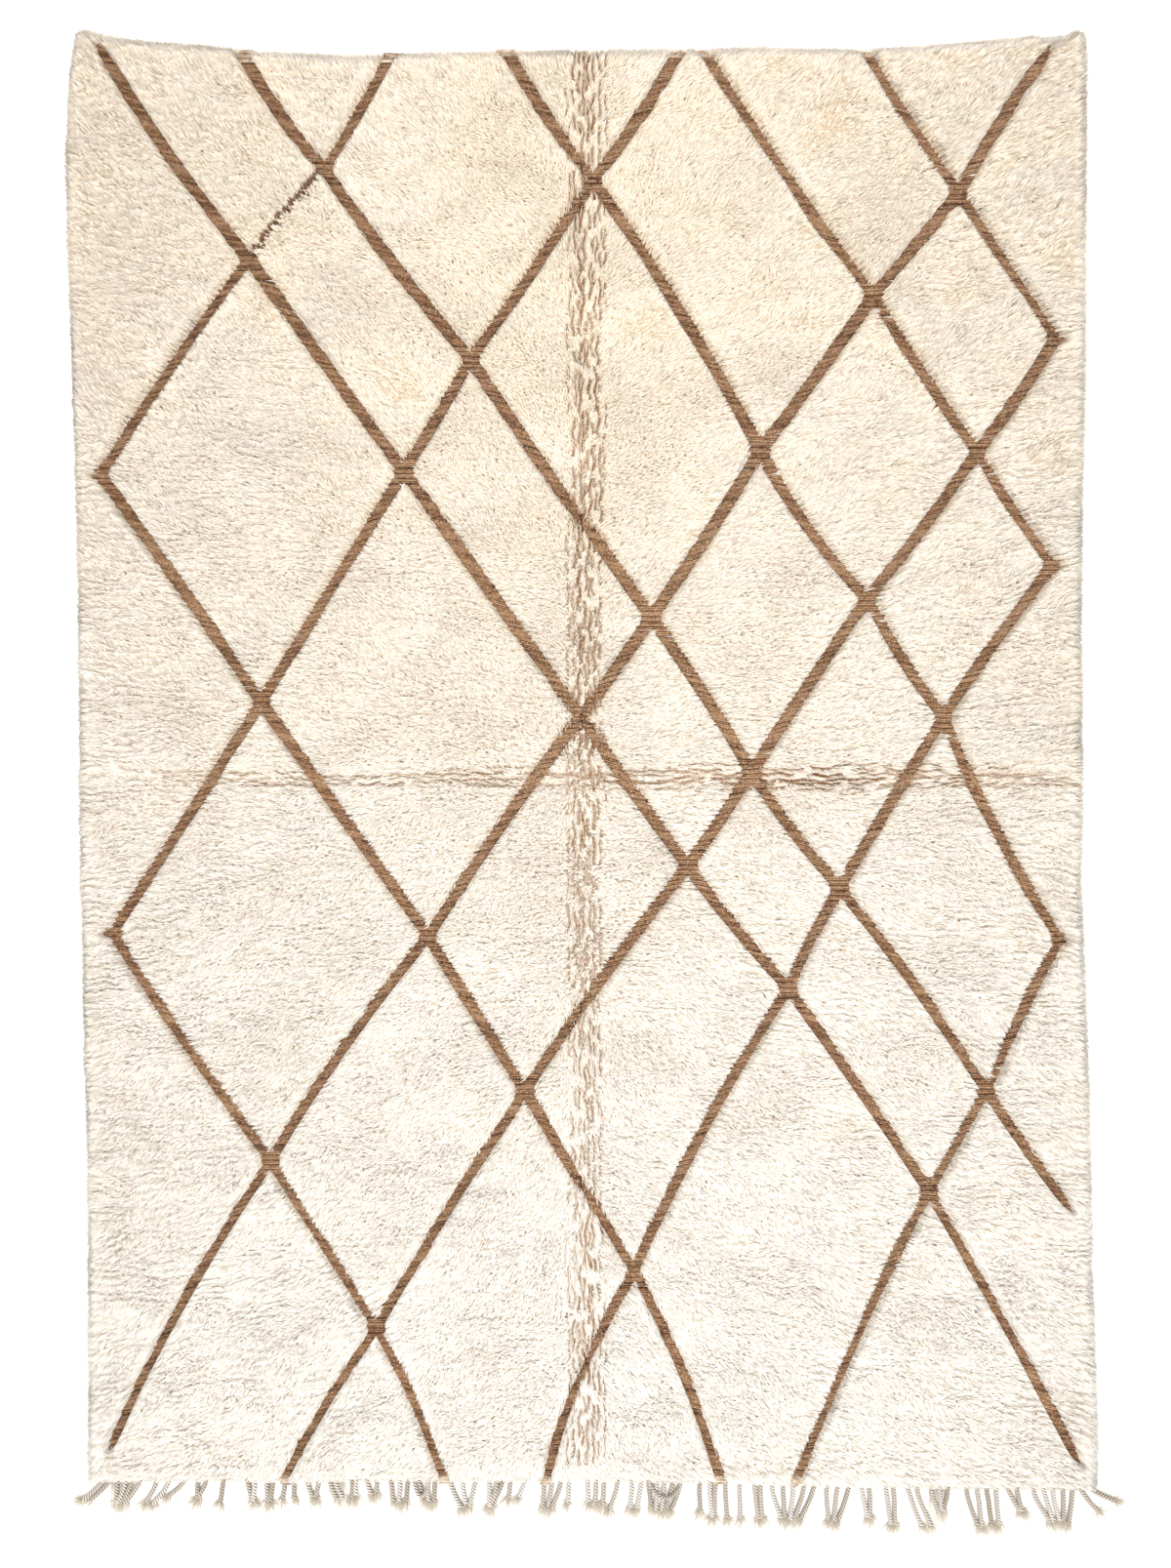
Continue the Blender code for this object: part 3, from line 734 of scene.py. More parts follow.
def wave_shares(x, y):
    """The small waves in which the shag lies across the rug, each with a short steep far side.

    Gives how strong they are at each place and how high up the wave it is, both from 0 to 1.
    """
    run = y / WAVE_PITCH + 0.9 * swell(x / (55 * MM), y / (40 * MM), 31)
    run += 0.35 * swell(x / (16 * MM), y / (14 * MM), 34)
    part = run - np.floor(run)
    calm = 0.6 * far_middle(x, y) - 0.25 * (x / HALF_WIDTH) ** 2
    strength = np.clip(0.6 - calm + 0.75 * swell(x / (34 * MM), y / (16 * MM), 32), 0.05, 1)
    return strength, smooth(np.minimum(part / 0.72, (1 - part) / 0.28))


def waves(x, y):
    """The height of those waves."""
    strength, crest = wave_shares(x, y)
    return WAVE_HEIGHT * strength * crest


def wave_slope(x, y):
    """How steeply those waves rise along and across the rug."""
    step = 1 * MM
    over_x = waves(x + step, y) - waves(x - step, y)
    over_y = waves(x, y + step) - waves(x, y - step)
    return np.stack((over_x, over_y), -1) / (2 * step)


class Strands:
    """Every strand of shag: where it is knotted in, how far its tip leans aside, and where it parts."""

    def __init__(self):
        self.knot()
        self.comb()
        self.open_slits()

    def knot(self):
        """Ties the strands in wavy rows across the rug, apart from the brown lines."""
        chance = np.random.default_rng(3)
        columns, rows = round((HALF_WIDTH + 0.03) / KNOT_PITCH), round((HALF_LENGTH + 0.02) / ROW_PITCH)
        column, row = np.meshgrid(np.arange(-columns, columns + 1), np.arange(-rows, rows + 1))
        column, row = column.ravel().astype(float), row.ravel().astype(float)
        x = (column + row % 2 / 2 + chance.uniform(-0.3, 0.3, column.size)) * KNOT_PITCH
        y = (row + chance.uniform(-0.3, 0.3, row.size)) * ROW_PITCH
        wide_wave = 4 * MM * swell(x / (70 * MM), y / (45 * MM), 21)
        y += wide_wave + 2 * MM * swell(x / (22 * MM), y / (30 * MM), 22)
        left, right, top, foot = edge_distances(x, y)
        gap, way_x, way_y = stepped_gap(x, y)
        kept = (max_of((-left, -right, -top)) < -3 * MM) & (foot > 8 * MM) & (gap > -0.6 * MM)
        self.x, self.y, self.gap = x[kept], y[kept], gap[kept]
        self.way_x, self.way_y = way_x[kept], way_y[kept]
        overgrown = from_lines(self.x, self.y, OVERGROWN)[0]
        ragged = 2.8 * MM * swell(self.x / (5 * MM), self.y / (5 * MM), 24)
        self.brown = (overgrown + ragged < 0).astype(float)

    def comb(self):
        """Leans the strands: outwards from the folds, together in locks and waves, and over the lines."""
        chance = np.random.default_rng(4)
        x, y = self.x, self.y
        rim = [np.clip(1 - side / (40 * MM), 0, 1) for side in edge_distances(x, y)]
        middle = 1 - max_of(rim)
        parted_x = np.tanh((x - CREASE_ALONG_X) / (45 * MM))
        parted_y = np.tanh((y - CREASE_ACROSS_Y) / (60 * MM))
        out_x = 6 * MM * parted_x + 3.5 * MM * x / HALF_WIDTH
        out_y = 1.5 * MM * parted_y + 4.5 * MM * y / HALF_LENGTH + 3 * MM * rim[2]
        stray = 2.5 * MM
        bearing = 4 * swell(x / (210 * MM), y / (130 * MM), 36)
        out_x += stray * np.cos(bearing)
        out_y += stray * np.sin(bearing)
        veer = 0.45 * swell(x / (75 * MM), y / (24 * MM), 35) * (0.4 + 0.6 * middle)
        lean = np.stack((
            out_x * np.cos(veer) - out_y * np.sin(veer),
            out_x * np.sin(veer) + out_y * np.cos(veer),
        ))
        along, across = crease_shares(x, y)
        plain = np.clip(1 - along - across, 0.15, 1) * (0.45 + 0.55 * middle)
        lean += (6 * MM * plain[:, None] * wave_slope(x, y)).T
        side = np.clip(1 - self.gap / (7 * MM), 0, 1)
        over_line = side * np.where(self.way_y < 0, 3 * MM, -1 * MM)
        loose = 1.1 * MM * (0.6 + 0.4 * middle)
        for axis, way in enumerate((self.way_x, self.way_y)):
            lean[axis] += over_line * way + chance.normal(0, 1, x.size) * loose
        # On the crests of the waves many lie the other way, so the pile looks alike from every side.
        crest = wave_shares(x, y)[1]
        open_pile = middle * plain * np.clip((self.gap - 9 * MM) / (8 * MM), 0, 1)
        other = np.random.default_rng(7).uniform(size=x.size) < 0.42 * open_pile * (0.35 + 0.65 * crest)
        lean = np.where(other, -lean, lean)
        # No strand stands bolt upright.
        lean *= np.maximum(1, STRAND_LEAN / (np.hypot(*lean) + 1e-6))
        # Over a line they hang a little, and stop in the same steps.
        near = np.flatnonzero(self.gap < 14 * MM)
        way = np.stack((self.way_x, self.way_y))[:, near]
        tips = lean[:, near]
        tips -= way * np.maximum(0, (tips * way).sum(0) - self.gap[near] - 3 * MM)
        tip_gap = stepped_gap(x[near] + tips[0], y[near] + tips[1])[0]
        tips -= way * np.maximum(0, -tip_gap - np.where(way[1] < 0, 0.8 * MM, 0.3 * MM))
        lean[:, near] = tips
        self.lean = lean

    def open_slits(self):
        """Parts the strands at the slits along the folds, where a few lie down in the dark."""
        chance = np.random.default_rng(5)
        lean, self.cleft, self.bank, shift, lie = slit_pull(self.x, self.y, self.lean)
        length = chance.uniform(6, 10, self.x.size) * MM * chance.choice((-1, 1), self.x.size)
        lean = np.where(self.cleft > 0, lie * length, lean)
        self.x = self.x + shift[0]
        self.y = self.y + shift[1]
        # The tips at the rim are trimmed even.
        past = max_of(-edge_distances(self.x + lean[0], self.y + lean[1], 1 * MM))
        kept = 1 - np.clip((past + chance.uniform(0, 2, past.size) * MM) / (12 * MM), 0, 0.9)
        self.lean = (lean * kept).T
        self.rim = np.clip(1 - edge_distances(self.x, self.y).min(0) / (16 * MM), 0, 1)


def warm_light_and_tone(x, y):
    """How warm the wool is painted: a warm cast that stands in for warmer light, rising toward the far end
    and its middle, with some random tone over it.
    """
    heights = (-1.08, -0.84, -0.52, -0.19, 0.13, 0.46, 0.78, 1.06)
    far = np.interp(y, heights, (0, 0.05, 0.15, 0.22, 0.42, 0.5, 0.62, 0.72))
    middle = 0.12 * np.exp(-((x / 0.4) ** 2) - ((y + 0.05) / 0.6) ** 2) + 0.35 * far_middle(x, y, 0.45)
    return far + middle + 0.1 * swell(x / 0.22, y / 0.16, 41) + 0.06 * swell(x / 0.07, y / 0.03, 42)


def in_steps(values, steps):
    """Rounds values from 0 to 1 to so many even steps, and gives each one's number too."""
    number = np.rint(np.clip(values, 0, 1) * (steps - 1)).astype(int)
    return number / (steps - 1), number


def leaves(root, lean, rise, half):
    """Tufts or fibres as leaves that rise from a root, are fullest past the middle and end in a tip.

    Gives each one's four points, and the two triangles between them.
    """
    way = lean / (np.hypot(*lean.T)[:, None] + 0.05 * MM)
    aside = np.stack((-way[:, 1], way[:, 0]), -1)
    points = np.repeat(root[:, None], 4, 1)
    points[:, 1:3, :2] += lean[:, None] * 0.5
    points[:, 1, :2] -= aside * half[:, None]
    points[:, 2, :2] += aside * half[:, None]
    points[:, 1:3, 2] += (rise * BELLY_UP)[:, None]
    points[:, 3, :2] += lean
    points[:, 3, 2] += rise
    triangles = (np.arange(len(root)) * 4)[:, None, None] + np.array([(0, 1, 2), (2, 1, 3)])
    return points, triangles.reshape(-1, 3)


def blades(root, lean, rise, half, turn):
    """Strands as blades, broad at the root and thin at the tip: three points each, and the ways they lie."""
    way = lean / (np.hypot(*lean.T)[:, None] + 0.05 * MM)
    cos, sin = np.cos(turn)[:, None], np.sin(turn)[:, None]
    aside = np.concatenate((-way[:, 1:] * cos - way[:, :1] * sin, way[:, :1] * cos - way[:, 1:] * sin), 1)
    points = np.repeat(root[:, None], 3, 1)
    points[:, 0, :2] += aside * half[:, None]
    points[:, 1, :2] -= aside * half[:, None]
    points[:, 2, :2] += lean
    points[:, 2, 2] += rise
    return points, way, aside


def strand_shades(strands, chance):
    """Each strand's tint, tone and brownness in a few even steps, and its shade's patch in the baked map."""
    x, y = strands.x, strands.y
    strength, crest = wave_shares(x, y)
    # Painted shade: the tint darkens in the troughs of the waves, toward the rug's long sides and at the rim;
    # the rest of it varies at random.
    shaded = 0.55 * strength * (1 - crest) ** 2 + 0.4 * (x / HALF_WIDTH) ** 2 + 0.4 * strands.rim
    tint, tint_number = in_steps(chance.uniform(0.15, 1, x.size) * (1 - shaded), TINTS)
    # Painted shade: beside a slit the tone is warmer, for the warm shade down its sides.
    tone, tone_number = in_steps(warm_light_and_tone(x, y) + 0.5 * strands.bank, TONES)
    cleft, cleft_number = in_steps(strands.cleft, CLEFTS)
    # Painted shade: beside a slit the strands are painted brown at the root and pale at the tip.
    bank, bank_number = in_steps(np.where(cleft > 0, 0, 0.9 * strands.bank), CLEFTS)
    cleft_number = np.where(bank > 0, CLEFTS - 1 + bank_number, cleft_number)
    cleft = np.stack((np.maximum(cleft, bank), np.maximum(cleft, bank), cleft), -1)
    openings = 2 * CLEFTS - 1
    shade = (tone_number * openings + cleft_number) * TINTS + tint_number
    shade = np.where(strands.brown > 0, TONES * openings * TINTS + tint_number, shade)
    across = math.ceil((TONES * openings * TINTS + TINTS) ** 0.5)
    cell = np.stack((shade % across, shade // across), -1)
    numbers = {
        "tint": np.repeat(tint[:, None], 3, 1),
        "tone": np.repeat(tone[:, None], 3, 1),
        "cleft": cleft,
        "brown": np.repeat(strands.brown[:, None], 3, 1),
        "height": np.tile((0, 0, 1), (x.size, 1)),
        "side": np.tile((-1, 1, 0), (x.size, 1)),
    }
    return numbers, (cell[:, None] + PATCH_CORNERS) / across


def strand_blades(strands, chance):
    """The strands' points and facing, which of them have a back, and the way that their backs face."""
    x, y = strands.x, strands.y
    stand = shag_height(x, y, strands.gap) - GROUND_HEIGHT
    stand *= 1 + 0.06 * chance.uniform(-1, 1, x.size)
    stand += 3 * MM * strands.brown + waves(x, y) * (1 - strands.rim)
    reach = np.hypot(*strands.lean.T)
    rise = np.sqrt(np.maximum((1.15 * stand) ** 2 - reach**2, (0.5 * stand) ** 2))
    rise = np.where(strands.cleft > 0, stand * (0.9 - 0.25 * strands.cleft), rise)
    half = STRAND_WIDTH / 2 * chance.uniform(0.8, 1.15, x.size) * (1 - 0.5 * strands.bank)
    half *= 0.5 + 0.5 * smooth(strands.gap / (7 * MM))
    half = np.where(strands.cleft > 0, 1.2 * MM, half)
    # Away from the rim and the lines only a strand's upper part shows, so it starts there.
    clear = np.minimum(edge_distances(x, y).min(0) / (25 * MM), strands.gap / (9 * MM))
    lift = stand * np.where(strands.cleft > 0, 0.15, SEEN_FROM * smooth(clear) * (1 - strands.bank))
    root = np.stack((x, y, GROUND_HEIGHT - 1 * MM + lift + curl(x, y)), -1)
    points, way, aside = blades(root, strands.lean, rise - lift, half, chance.normal(0, 0.15, x.size))
    # A strand faces mostly as the whole shag does, which is how light soaks through its fibres.
    facing = np.zeros((x.size, 3, 3))
    facing[..., :2] = (-1.2 * np.stack(shag_slope(x, y), -1) - 0.8 * wave_slope(x, y) - 0.15 * way)[:, None]
    # Beside a line the shag rounds down to it.
    rounding = np.exp(-np.maximum(0, strands.gap) / (8 * MM))
    facing[..., :2] += (np.stack((strands.way_x, strands.way_y), -1) * 0.7 * rounding[:, None])[:, None]
    facing[..., 2] = 1
    facing[:, 0, :2] += aside * 0.25
    facing[:, 1, :2] -= aside * 0.25
    facing[:, 2, :2] += way * 0.15
    proud = rise - open_shag(x, y) + 20 * MM * strands.rim
    steep = (rise - lift) / np.maximum(reach, 1 * MM)
    behind = np.repeat(np.concatenate((way, 0.8 * steep[:, None]), 1)[:, None], 3, 1)
    return points, facing, proud > np.quantile(proud, 1 - BACKED), behind


def shag(material):
    """All the shag, as panels of joined strands."""
    strands = Strands()
    chance = np.random.default_rng(6)
    numbers, patches = strand_shades(strands, chance)
    points, facing, backed, behind = strand_blades(strands, chance)

    def with_backs(values, panel, changed=None):
        """A panel's values at each point, and those of its strands' backs, whose points run the other way."""
        backs = panel[backed[panel]]
        behind_values = values[backs][:, ::-1] if changed is None else changed[backs]
        return np.concatenate((values[panel], behind_values)).reshape(-1, *values.shape[2:])

    lowered = points[:, ::-1] - (0, 0, BACK_GAP)
    made = []
    for number, panel in enumerate(np.array_split(np.argsort(strands.x), PANELS)):
        places = with_backs(points, panel, lowered)
        made.append(joined_mesh(
            f"shag_panel_{number + 1}",
            places,
            np.arange(len(places)).reshape(-1, 3),
            material,
            {key: with_backs(values, panel) for key, values in numbers.items()},
            with_backs(patches, panel),
            with_backs(facing, panel, behind),
        ))
    return made


# ---------------------------------------------------------------- brown rows


Span = namedtuple("Span", "row start end slope pale")


def brown_spans():
    """Where the brown rows run across the rug, how they slope and whether they are pale."""
    step = 1 * MM
    x = np.arange(-0.86, 0.88, step)
    spans = []
    for group in range(-GROUPS_OUT, GROUPS_OUT + 1):
        y = (group + 0.5) * GROUP * RIB_PITCH
        gap, way_x, way_y, pale = from_lines(x, np.full(x.size, y), STRETCHES)
        inside = np.flatnonzero(np.diff(np.concatenate(([0], gap < RIB_REACH, [0]))))
        for start, end in zip(inside[::2], inside[1::2]):
            middle = (start + end) // 2
            # The rows of one line lie a little aslant, the way that the line runs, and level at a crossing.
            place = np.array((x[middle], y))
            clear = min(np.hypot(*(place - crossing)) for crossing in KNOT_AT.values())
            single = smooth((clear - 16 * MM) / (45 * MM)) * (1 - pale[middle])
            slant = -np.sign(way_x[start] * way_y[start]) * ROW_SLANT * single
            for row in range(group * GROUP, (group + 1) * GROUP):
                if edge_at(FOOT, x[middle], -2 * MM) < row * RIB_PITCH < edge_at(TOP, x[middle], 6 * MM):
                    spans.append(Span(row, x[start], x[end - 1], slant, pale[middle]))
    return spans


class BrownRows:
    """The brown rows: a low rib for every pass of yarn, with a short clipped nap along it."""

    def __init__(self):
        chance = np.random.default_rng(8)
        self.depths = chance.uniform(0.1, 0.4, 2 * MIDDLE_ROW)
        self.depths[GROUP - 1::GROUP] = chance.uniform(0.8, 1, 2 * MIDDLE_ROW // GROUP)
        self.row_tint = chance.uniform(0, 1, 2 * MIDDLE_ROW)
        self.spans = brown_spans()

    def gap_depth(self, row):
        """How deep the gap above a row is, and how dark its painted shade: faint within a group of rows, deep
        above it.
        """
        return self.depths[row + MIDDLE_ROW]

    def ribs(self, material):
        """The ridged ribs."""
        chance = np.random.default_rng(9)
        points, triangles, heights, tints, pales = [], [], [], [], []
        for row, start, end, slope, pale in self.spans:
            middle = row * RIB_PITCH
            first, last = start + chance.uniform(-1.2, 1.2) * MM, end + chance.uniform(-1.2, 1.2) * MM
            count = max(2, round((last - first) / RIB_STEP))
            places = [first + (last - first) * i / count for i in range(count + 1)]
            # The fold along the rug cuts a slit through them.
            if first < CREASE_SLIT_X < last:
                places = [x for x in places if abs(x - CREASE_SLIT_X) > 3.5 * MM]
                places = sorted(places + [CREASE_SLIT_X + step * MM for step in (-3, 0, 3)])
            slant = slope * (last - first) / 2 + chance.uniform(-0.6, 0.6) * MM
            for i, x in enumerate(places):
                t = (x - first) / (last - first)
                y = middle + slant * (2 * t - 1) + chance.uniform(-0.4, 0.4) * MM
                slit = float(abs(x - CREASE_SLIT_X) < 1 * MM)
                at_an_end = i in (0, len(places) - 1)
                ridge = (9.2 + chance.uniform(-0.5, 0.5) - 2.5 * slit - 1.5 * at_an_end) * MM
                base = len(points)
                under, over = self.gap_depth(row - 1), self.gap_depth(row)
                under, over = under * chance.uniform(0.55, 1), over * chance.uniform(0.55, 1)
                for side, depth in ((-1, under), (-0.4, 0.15 * under), (0.4, 0.15 * over), (1, over)):
                    fall = (0.3 + 2.6 * depth) * abs(side) * MM
                    points.append((x + side * 1.1 * MM, y + side * RIB_PITCH * GAP_REACH, ridge - fall))
                    # Painted shade: the colour darkens toward the gaps between rows, most at the deep ones,
                    # and at the fold's slit.
                    heights.append(max(0, 0.62 - 0.75 * depth - 0.9 * slit))
                tint = self.row_tint[row + MIDDLE_ROW] + chance.uniform(-0.4, 0.4)
                tints += [min(1, max(0, tint))] * 4
                pales += [pale] * 4
                if i:
                    for side in (0, 1, 2):
                        a, b = base - 4 + side, base + side
                        triangles += [(a, b, b + 1), (a, b + 1, a + 1)]
        points = woven_in(np.array(points))
        numbers = {"height": np.array(heights), "tint": np.array(tints), "pale": np.array(pales)}
        return joined_mesh("brown_rows", points, np.array(triangles), material, numbers)

    def nap(self, material):
        """The cut ends of the brown yarn, short slanted tufts along every rib."""
        chance = np.random.default_rng(10)
        x, row, rise_of, slope_of, pale = [], [], [], [], []
        for number, start, end, slope, is_pale in self.spans:
            places = np.arange(start + NAP_INSET, end - NAP_INSET, NAP_STEP)
            x.append(places + chance.uniform(-1, 1, places.size) * MM)
            row.append(np.full(places.size, number))
            rise_of.append((x[-1] - (start + end) / 2) * slope)
            slope_of.append(np.full(places.size, slope))
            pale.append(np.full(places.size, is_pale))
        x, row, rise_of, slope_of, pale = (np.concatenate(part) for part in (x, row, rise_of, slope_of, pale))
        slit = 1.5 * MM * np.sin(row * RIB_PITCH / (12 * MM)) + CREASE_SLIT_X
        y = row * RIB_PITCH + rise_of
        kept = (np.abs(x - slit) > 3 * MM) & (chance.uniform(size=x.size) < 0.9)
        x, y, row, slope, pale = x[kept], y[kept], row[kept], slope_of[kept], pale[kept]
        under, over = self.gap_depth(row - 1), self.gap_depth(row)
        y += 0.9 * (under - over) * MM + chance.uniform(-0.35, 0.35, x.size) * MM
        angle = np.arctan(slope) + chance.normal(0, 0.07, x.size)
        _, dark, _, _, lie = slit_pull(x, y, np.zeros((2, x.size)))
        angle = np.where(dark > 0, np.arctan2(lie[1], lie[0]), angle)
        reach = chance.uniform(3.6, 6.6, x.size) * MM
        lean = np.stack((np.cos(angle), np.sin(angle)), -1) * reach[:, None]
        root = woven_in(np.stack((x - reach / 2, y - lean[:, 1] / 2, np.full(x.size, 8 * MM)), -1))
        rise = chance.uniform(1.8, 3.2, x.size) * MM
        half = chance.uniform(0.8, 1.35, x.size) * MM
        points, triangles = leaves(root, lean, rise, half)
        # The brown is palest at the middle of the rug and darkest at its far left.
        bright = 0.25 * np.exp(-(x**2 + y**2) / 0.4**2) - 0.3 * smooth((y - x - 0.9) / 0.8)
        # In the fold's slit the tint is painted darker, as shade.
        tint = self.row_tint[row + MIDDLE_ROW] * 0.4 + chance.uniform(0.15, 0.7, x.size) + bright - dark
        facing = np.zeros((x.size, 4, 3))
        facing[..., 2] = 1
        facing[:, 1, 1] -= 0.5
        facing[:, 2, 1] += 0.5
        # Painted shade: each tuft darkens to its root, and the tufts in the slit are darker still.
        numbers = {
            "height": np.tile((0.1, 0.75, 0.75, 1), x.size) * (1 - 0.8 * np.repeat(dark, 4)),
            "tint": np.repeat(np.clip(tint, 0, 1), 4),
            "pale": np.repeat(pale, 4),
        }
        return joined_mesh(
            "brown_nap", points.reshape(-1, 3), triangles, material, numbers, facing=facing.reshape(-1, 3)
        )


def woven_in(points):
    """Points of the brown rows, waved as the weaving is and lifted where the corners curl."""
    x, y = points[:, 0], points[:, 1]
    points[:, 1] += 1.5 * MM * swell(x / (50 * MM), y / (50 * MM), 51)
    points[:, 2] += curl(x, y)
    return points


# ---------------------------------------------------------------- ground


def woven_ground(material):
    """The woven ground under the knots: a thin closed sheet with the rug's outline."""
    columns, rows = 44, 62
    u, v = np.meshgrid(np.linspace(0, 1, columns + 1), np.linspace(0, 1, rows + 1), indexing="ij")
    rough_x = FOOT[0, 0] + (FOOT[-1, 0] - FOOT[0, 0]) * u
    foot, top = edge_at(FOOT, rough_x, 0), edge_at(TOP, rough_x)
    y = foot + (top - foot) * v
    left, right = edge_at(LEFT, y), edge_at(RIGHT, y)
    x = left + (right - left) * u
    layers = []
    for z in (0.0, GROUND_HEIGHT):
        layers.append(np.stack((x, y, z + curl(x, y)), -1).reshape(-1, 3))
    size = (columns + 1) * (rows + 1)
    at = np.arange(size).reshape(columns + 1, rows + 1)
    a, b, c, d = (part.ravel() for part in (at[:-1, :-1], at[1:, :-1], at[1:, 1:], at[:-1, 1:]))
    upper = np.concatenate((np.stack((a, b, c), -1), np.stack((a, c, d), -1))) + size
    under = np.concatenate((np.stack((a, c, b), -1), np.stack((a, d, c), -1)))
    ring = np.concatenate((at[:, 0], at[-1, 1:], at[-2::-1, -1], at[0, -2::-1]))
    p, q = ring[:-1], ring[1:]
    walls = np.concatenate((np.stack((p, q, q + size), -1), np.stack((p, q + size, p + size), -1)))
    triangles = np.concatenate((upper, under, walls))
    return joined_mesh("woven_ground", np.concatenate(layers), triangles, material)


# ---------------------------------------------------------------- fringe


def cord_table():
    """Every cord's root and tip across the rug and its reach, from the bunches."""
    chance = np.random.default_rng(12)
    cords = []
    for bunch in BUNCHES:
        gathered = chance.choice((0.3, 0.55, 0.85, 1.0))
        for i in range(bunch.cords):
            t = i / max(1, bunch.cords - 1)
            root = bunch.root_from + (bunch.root_to - bunch.root_from) * t
            tip = bunch.tip_from + (bunch.tip_to - bunch.tip_from) * (0.5 + (t - 0.5) * gathered)
            cords.append((root * MM, tip * MM, bunch.reach * MM))
    return cords


def cord_path(root, tip, reach, wander):
    """A cord's middle from its root under the shag to where it frays, as an array of points."""
    t = np.linspace(0, 1, 61)
    bend = t * (1 - CORD_CURVE) + t * t * CORD_CURVE
    x = root + (tip - root) * bend + wander * np.sin(t * math.pi * 1.5)
    foot = float(edge_at(FOOT, root, 0))
    y = foot + CORD_START - (reach + CORD_START) * t
    return np.stack((x, y, np.full(t.size, CORD_RADIUS)), -1)


def plied_cord(path, radius=CORD_RADIUS, lobes=3, lead=CORD_LEAD):
    """A twisted cord along the path: rings whose lobes wind round, with a number for ridge or groove."""
    steps = np.diff(path, axis=0)
    run = np.concatenate(([0], np.cumsum(np.linalg.norm(steps, axis=1))))
    count = max(4, round(run[-1] / (lead / 12)))
    at = np.linspace(0, run[-1], count + 1)
    middle = np.stack([np.interp(at, run, path[:, k]) for k in range(3)], -1)
    way = np.gradient(middle, axis=0)
    way /= np.linalg.norm(way, axis=1)[:, None]
    side = np.cross(way, (0, 0, 1))
    side /= np.linalg.norm(side, axis=1)[:, None]
    up = np.cross(side, way)
    corners = lobes * 4
    angles = np.arange(corners) * 2 * math.pi / corners
    turn = at / lead * 2 * math.pi
    # Each ply is a round ridge: its crown, a shoulder, the groove to the next one, a shoulder.
    out = radius * np.tile((1, 0.9, 0.6, 0.9), lobes)
    theta = angles[None] + turn[:, None]
    points = middle[:, None] + out[None, :, None] * (
        np.cos(theta)[..., None] * side[:, None] + np.sin(theta)[..., None] * up[:, None]
    )
    # These numbers paint shade into the grooves between the plies.
    heights = np.tile((1, 0.8, 0, 0.8), lobes * (count + 1))
    at = np.arange((count + 1) * corners).reshape(count + 1, corners)
    nxt = np.roll(at, -1, axis=1)
    a, b, c, d = at[:-1].ravel(), nxt[:-1].ravel(), nxt[1:].ravel(), at[1:].ravel()
    triangles = np.concatenate((np.stack((a, b, c), -1), np.stack((a, c, d), -1)))
    return points.reshape(-1, 3), triangles, heights


def frayed_end(end, way, chance):
    """The cord's untwisted end: fine fibres that fan out along the floor and into their neighbours'."""
    spread = np.clip(chance.normal(0, 0.5, FIBRES), -1.3, 1.3)
    cos, sin = np.cos(spread), np.sin(spread)
    out = np.stack((way[0] * cos - way[1] * sin, way[0] * sin + way[1] * cos), -1)
    reach = FRAY * chance.uniform(0.5, 1, FIBRES) ** 1.7 * (1 - 0.3 * np.abs(spread))
    root = end + chance.uniform(-1, 1, (FIBRES, 3)) * (3.6 * MM, 1 * MM, 0)
    root -= way * chance.uniform(0, 6 * MM, (FIBRES, 1))
    root[:, 2] = chance.uniform(1, 4, FIBRES) * MM
    fall = chance.uniform(0.3, 1, FIBRES) * MM - root[:, 2]
    half = chance.uniform(0.2, 0.42, FIBRES) * MM
    points, triangles = leaves(root, out * reach[:, None], fall, half)
    points[:, 1:3, 2] = root[:, None, 2] + fall[:, None] * 0.4
    return points.reshape(-1, 3), triangles, np.tile((0, 0.5, 0.5, 1), FIBRES)


def loose_yarn(root, wide, reach, chance):
    """A bundle of warp ends that have come untwisted: long crimped fibres side by side."""
    count = 2 * FIBRES
    start = root + chance.uniform(-0.5, 0.5, (count, 3)) * (wide, 4 * MM, 4 * MM)
    lean = np.stack((chance.normal(0, 3 * MM, count), -reach * chance.uniform(0.6, 1, count)), -1)
    start[:, :2] += lean * chance.uniform(0, 0.35, (count, 1))
    fall = chance.uniform(0.5, 3, count) * MM - start[:, 2]
    half = chance.uniform(0.4, 0.9, count) * MM
    points, triangles = leaves(start, lean, fall, half)
    return points.reshape(-1, 3), triangles, np.tile((0.3, 0.8, 0.8, 1), count)


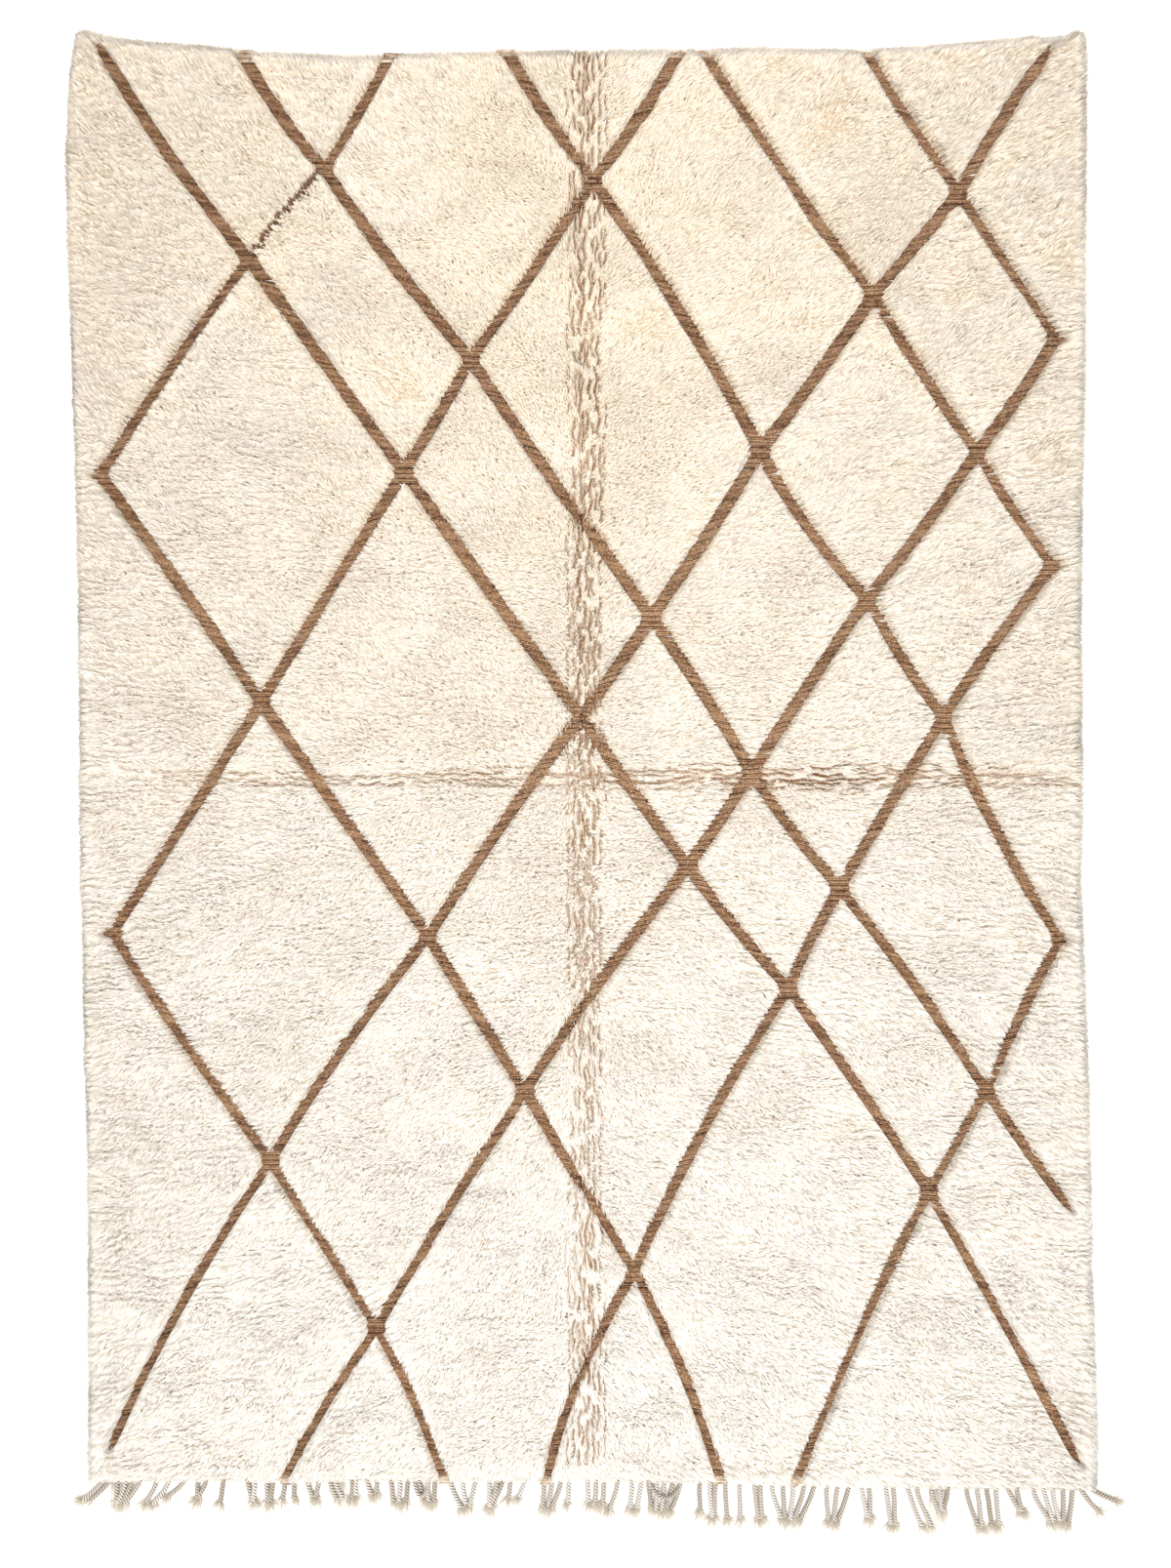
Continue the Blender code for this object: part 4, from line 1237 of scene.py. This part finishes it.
def warp_fringe(material):
    """The plied warp ends, each frayed, with the twined edge that holds their roots."""
    chance = np.random.default_rng(9)
    points, triangles, heights, tints, frayed = [], [], [], [], []
    total = 0

    def add(part, is_frayed=0):
        nonlocal total
        points.append(part[0])
        triangles.append(part[1] + total)
        heights.append(part[2])
        tints.append(np.full(len(part[0]), chance.uniform(0, 1)))
        frayed.append(np.full(len(part[0]), is_frayed))
        total += len(part[0])

    for root, tip, reach in cord_table():
        reach += chance.uniform(-4, 3) * MM
        path = cord_path(root, tip, reach - FRAY * 0.5, chance.uniform(-1.5, 1.5) * MM)
        add(plied_cord(path))
        way = path[-1] - path[-4]
        way /= np.linalg.norm(way)
        add(frayed_end(path[-1], way, chance), 1)
    for left, right, drop in LOOPS:
        t = np.linspace(0, 1, 61)
        x = (left + (right - left) * t) * MM
        y = edge_at(FOOT, x, 0) + CORD_START - (drop * MM + CORD_START) * np.sin(t * math.pi) ** 0.6
        z = CORD_RADIUS + LOOP_RISE * np.sin(t * math.pi)
        add(plied_cord(np.stack((x, y, z), -1), LOOP_RADIUS))
    for middle, wide, reach in FLAT_ENDS:
        root = np.array((middle * MM, edge_at(FOOT, middle * MM, 0) + CORD_START, 3 * MM))
        add(loose_yarn(root, wide * MM, reach * MM, chance), 1)
    x = np.linspace(FOOT[0, 0] + TIP_INSET, FOOT[-1, 0] - TIP_INSET, 400)
    edge = np.stack((x, edge_at(FOOT, x, TWINED_EDGE), np.full(x.size, 6 * MM)), -1)
    add(plied_cord(edge, TWINE_RADIUS, 2, TWINE_LEAD))
    return joined_mesh(
        "plied_fringe", np.concatenate(points), np.concatenate(triangles), material,
        {"height": np.concatenate(heights), "tint": np.concatenate(tints), "frayed": np.concatenate(frayed)},
    )


# ---------------------------------------------------------------- the rug

shag_panels = shag(shag_wool())
brown = BrownRows()
brown_wool = row_wool()
brown_pieces = [brown.ribs(brown_wool), brown.nap(brown_wool)]
ground = woven_ground(ground_wool())
fringe = warp_fringe(warp_wool())

for panel in shag_panels:
    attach(panel, "root")
    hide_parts("shag_rug")
for piece in brown_pieces:
    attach(piece, "root")
    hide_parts("shag_rug")
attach(ground, "root")
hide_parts("shag_rug")
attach(fringe, "root")
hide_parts("warp_fringe")

# ---------------------------------------------------------------- floor and light


def studio():
    """A plain white floor, soft light all round and a broad soft lamp from the fringe's end."""
    paper = bpy.data.materials.new("white_floor")
    paper.use_nodes = True
    shader = paper.node_tree.nodes["Principled BSDF"]
    shader.inputs["Base Color"].default_value = linear("#F6F5F3")
    shader.inputs["Roughness"].default_value = 0.9
    shader.inputs["Specular IOR Level"].default_value = 0.1
    half = 6.0
    corners = np.array([(-half, -half, 0), (half, -half, 0), (half, half, 0), (-half, half, 0)])
    floor = joined_mesh("studio_floor", corners, np.array([(0, 1, 2), (0, 2, 3)]), paper)
    world = bpy.data.worlds.new("soft_room")
    bpy.context.scene.world = world
    world.use_nodes = True
    sky = world.node_tree.nodes["Background"]
    sky.inputs["Color"].default_value = linear("#FFFFFF")
    sky.inputs["Strength"].default_value = 0.9
    # Each lamp's name, place, size in metres and power in watts
    for name, place, size, power in (
        ("foot_lamp", (0.2, -3.4, 5.8), 4.0, 314),
        ("top_lamp", (0.0, 0.3, 3.8), 2.5, 80),
    ):
        lamp = bpy.data.lights.new(name, "AREA")
        lamp.shape = "SQUARE"
        lamp.size = size
        lamp.energy = power
        lamp.color = linear("#FFFDFA")[:3]
        holder = bpy.data.objects.new(name, lamp)
        holder.location = place
        holder.rotation_euler = (-Vector(place)).to_track_quat("-Z", "Y").to_euler()
        bpy.context.scene.collection.objects.link(holder)


studio()
bpy.context.scene.view_settings.view_transform = "Standard"
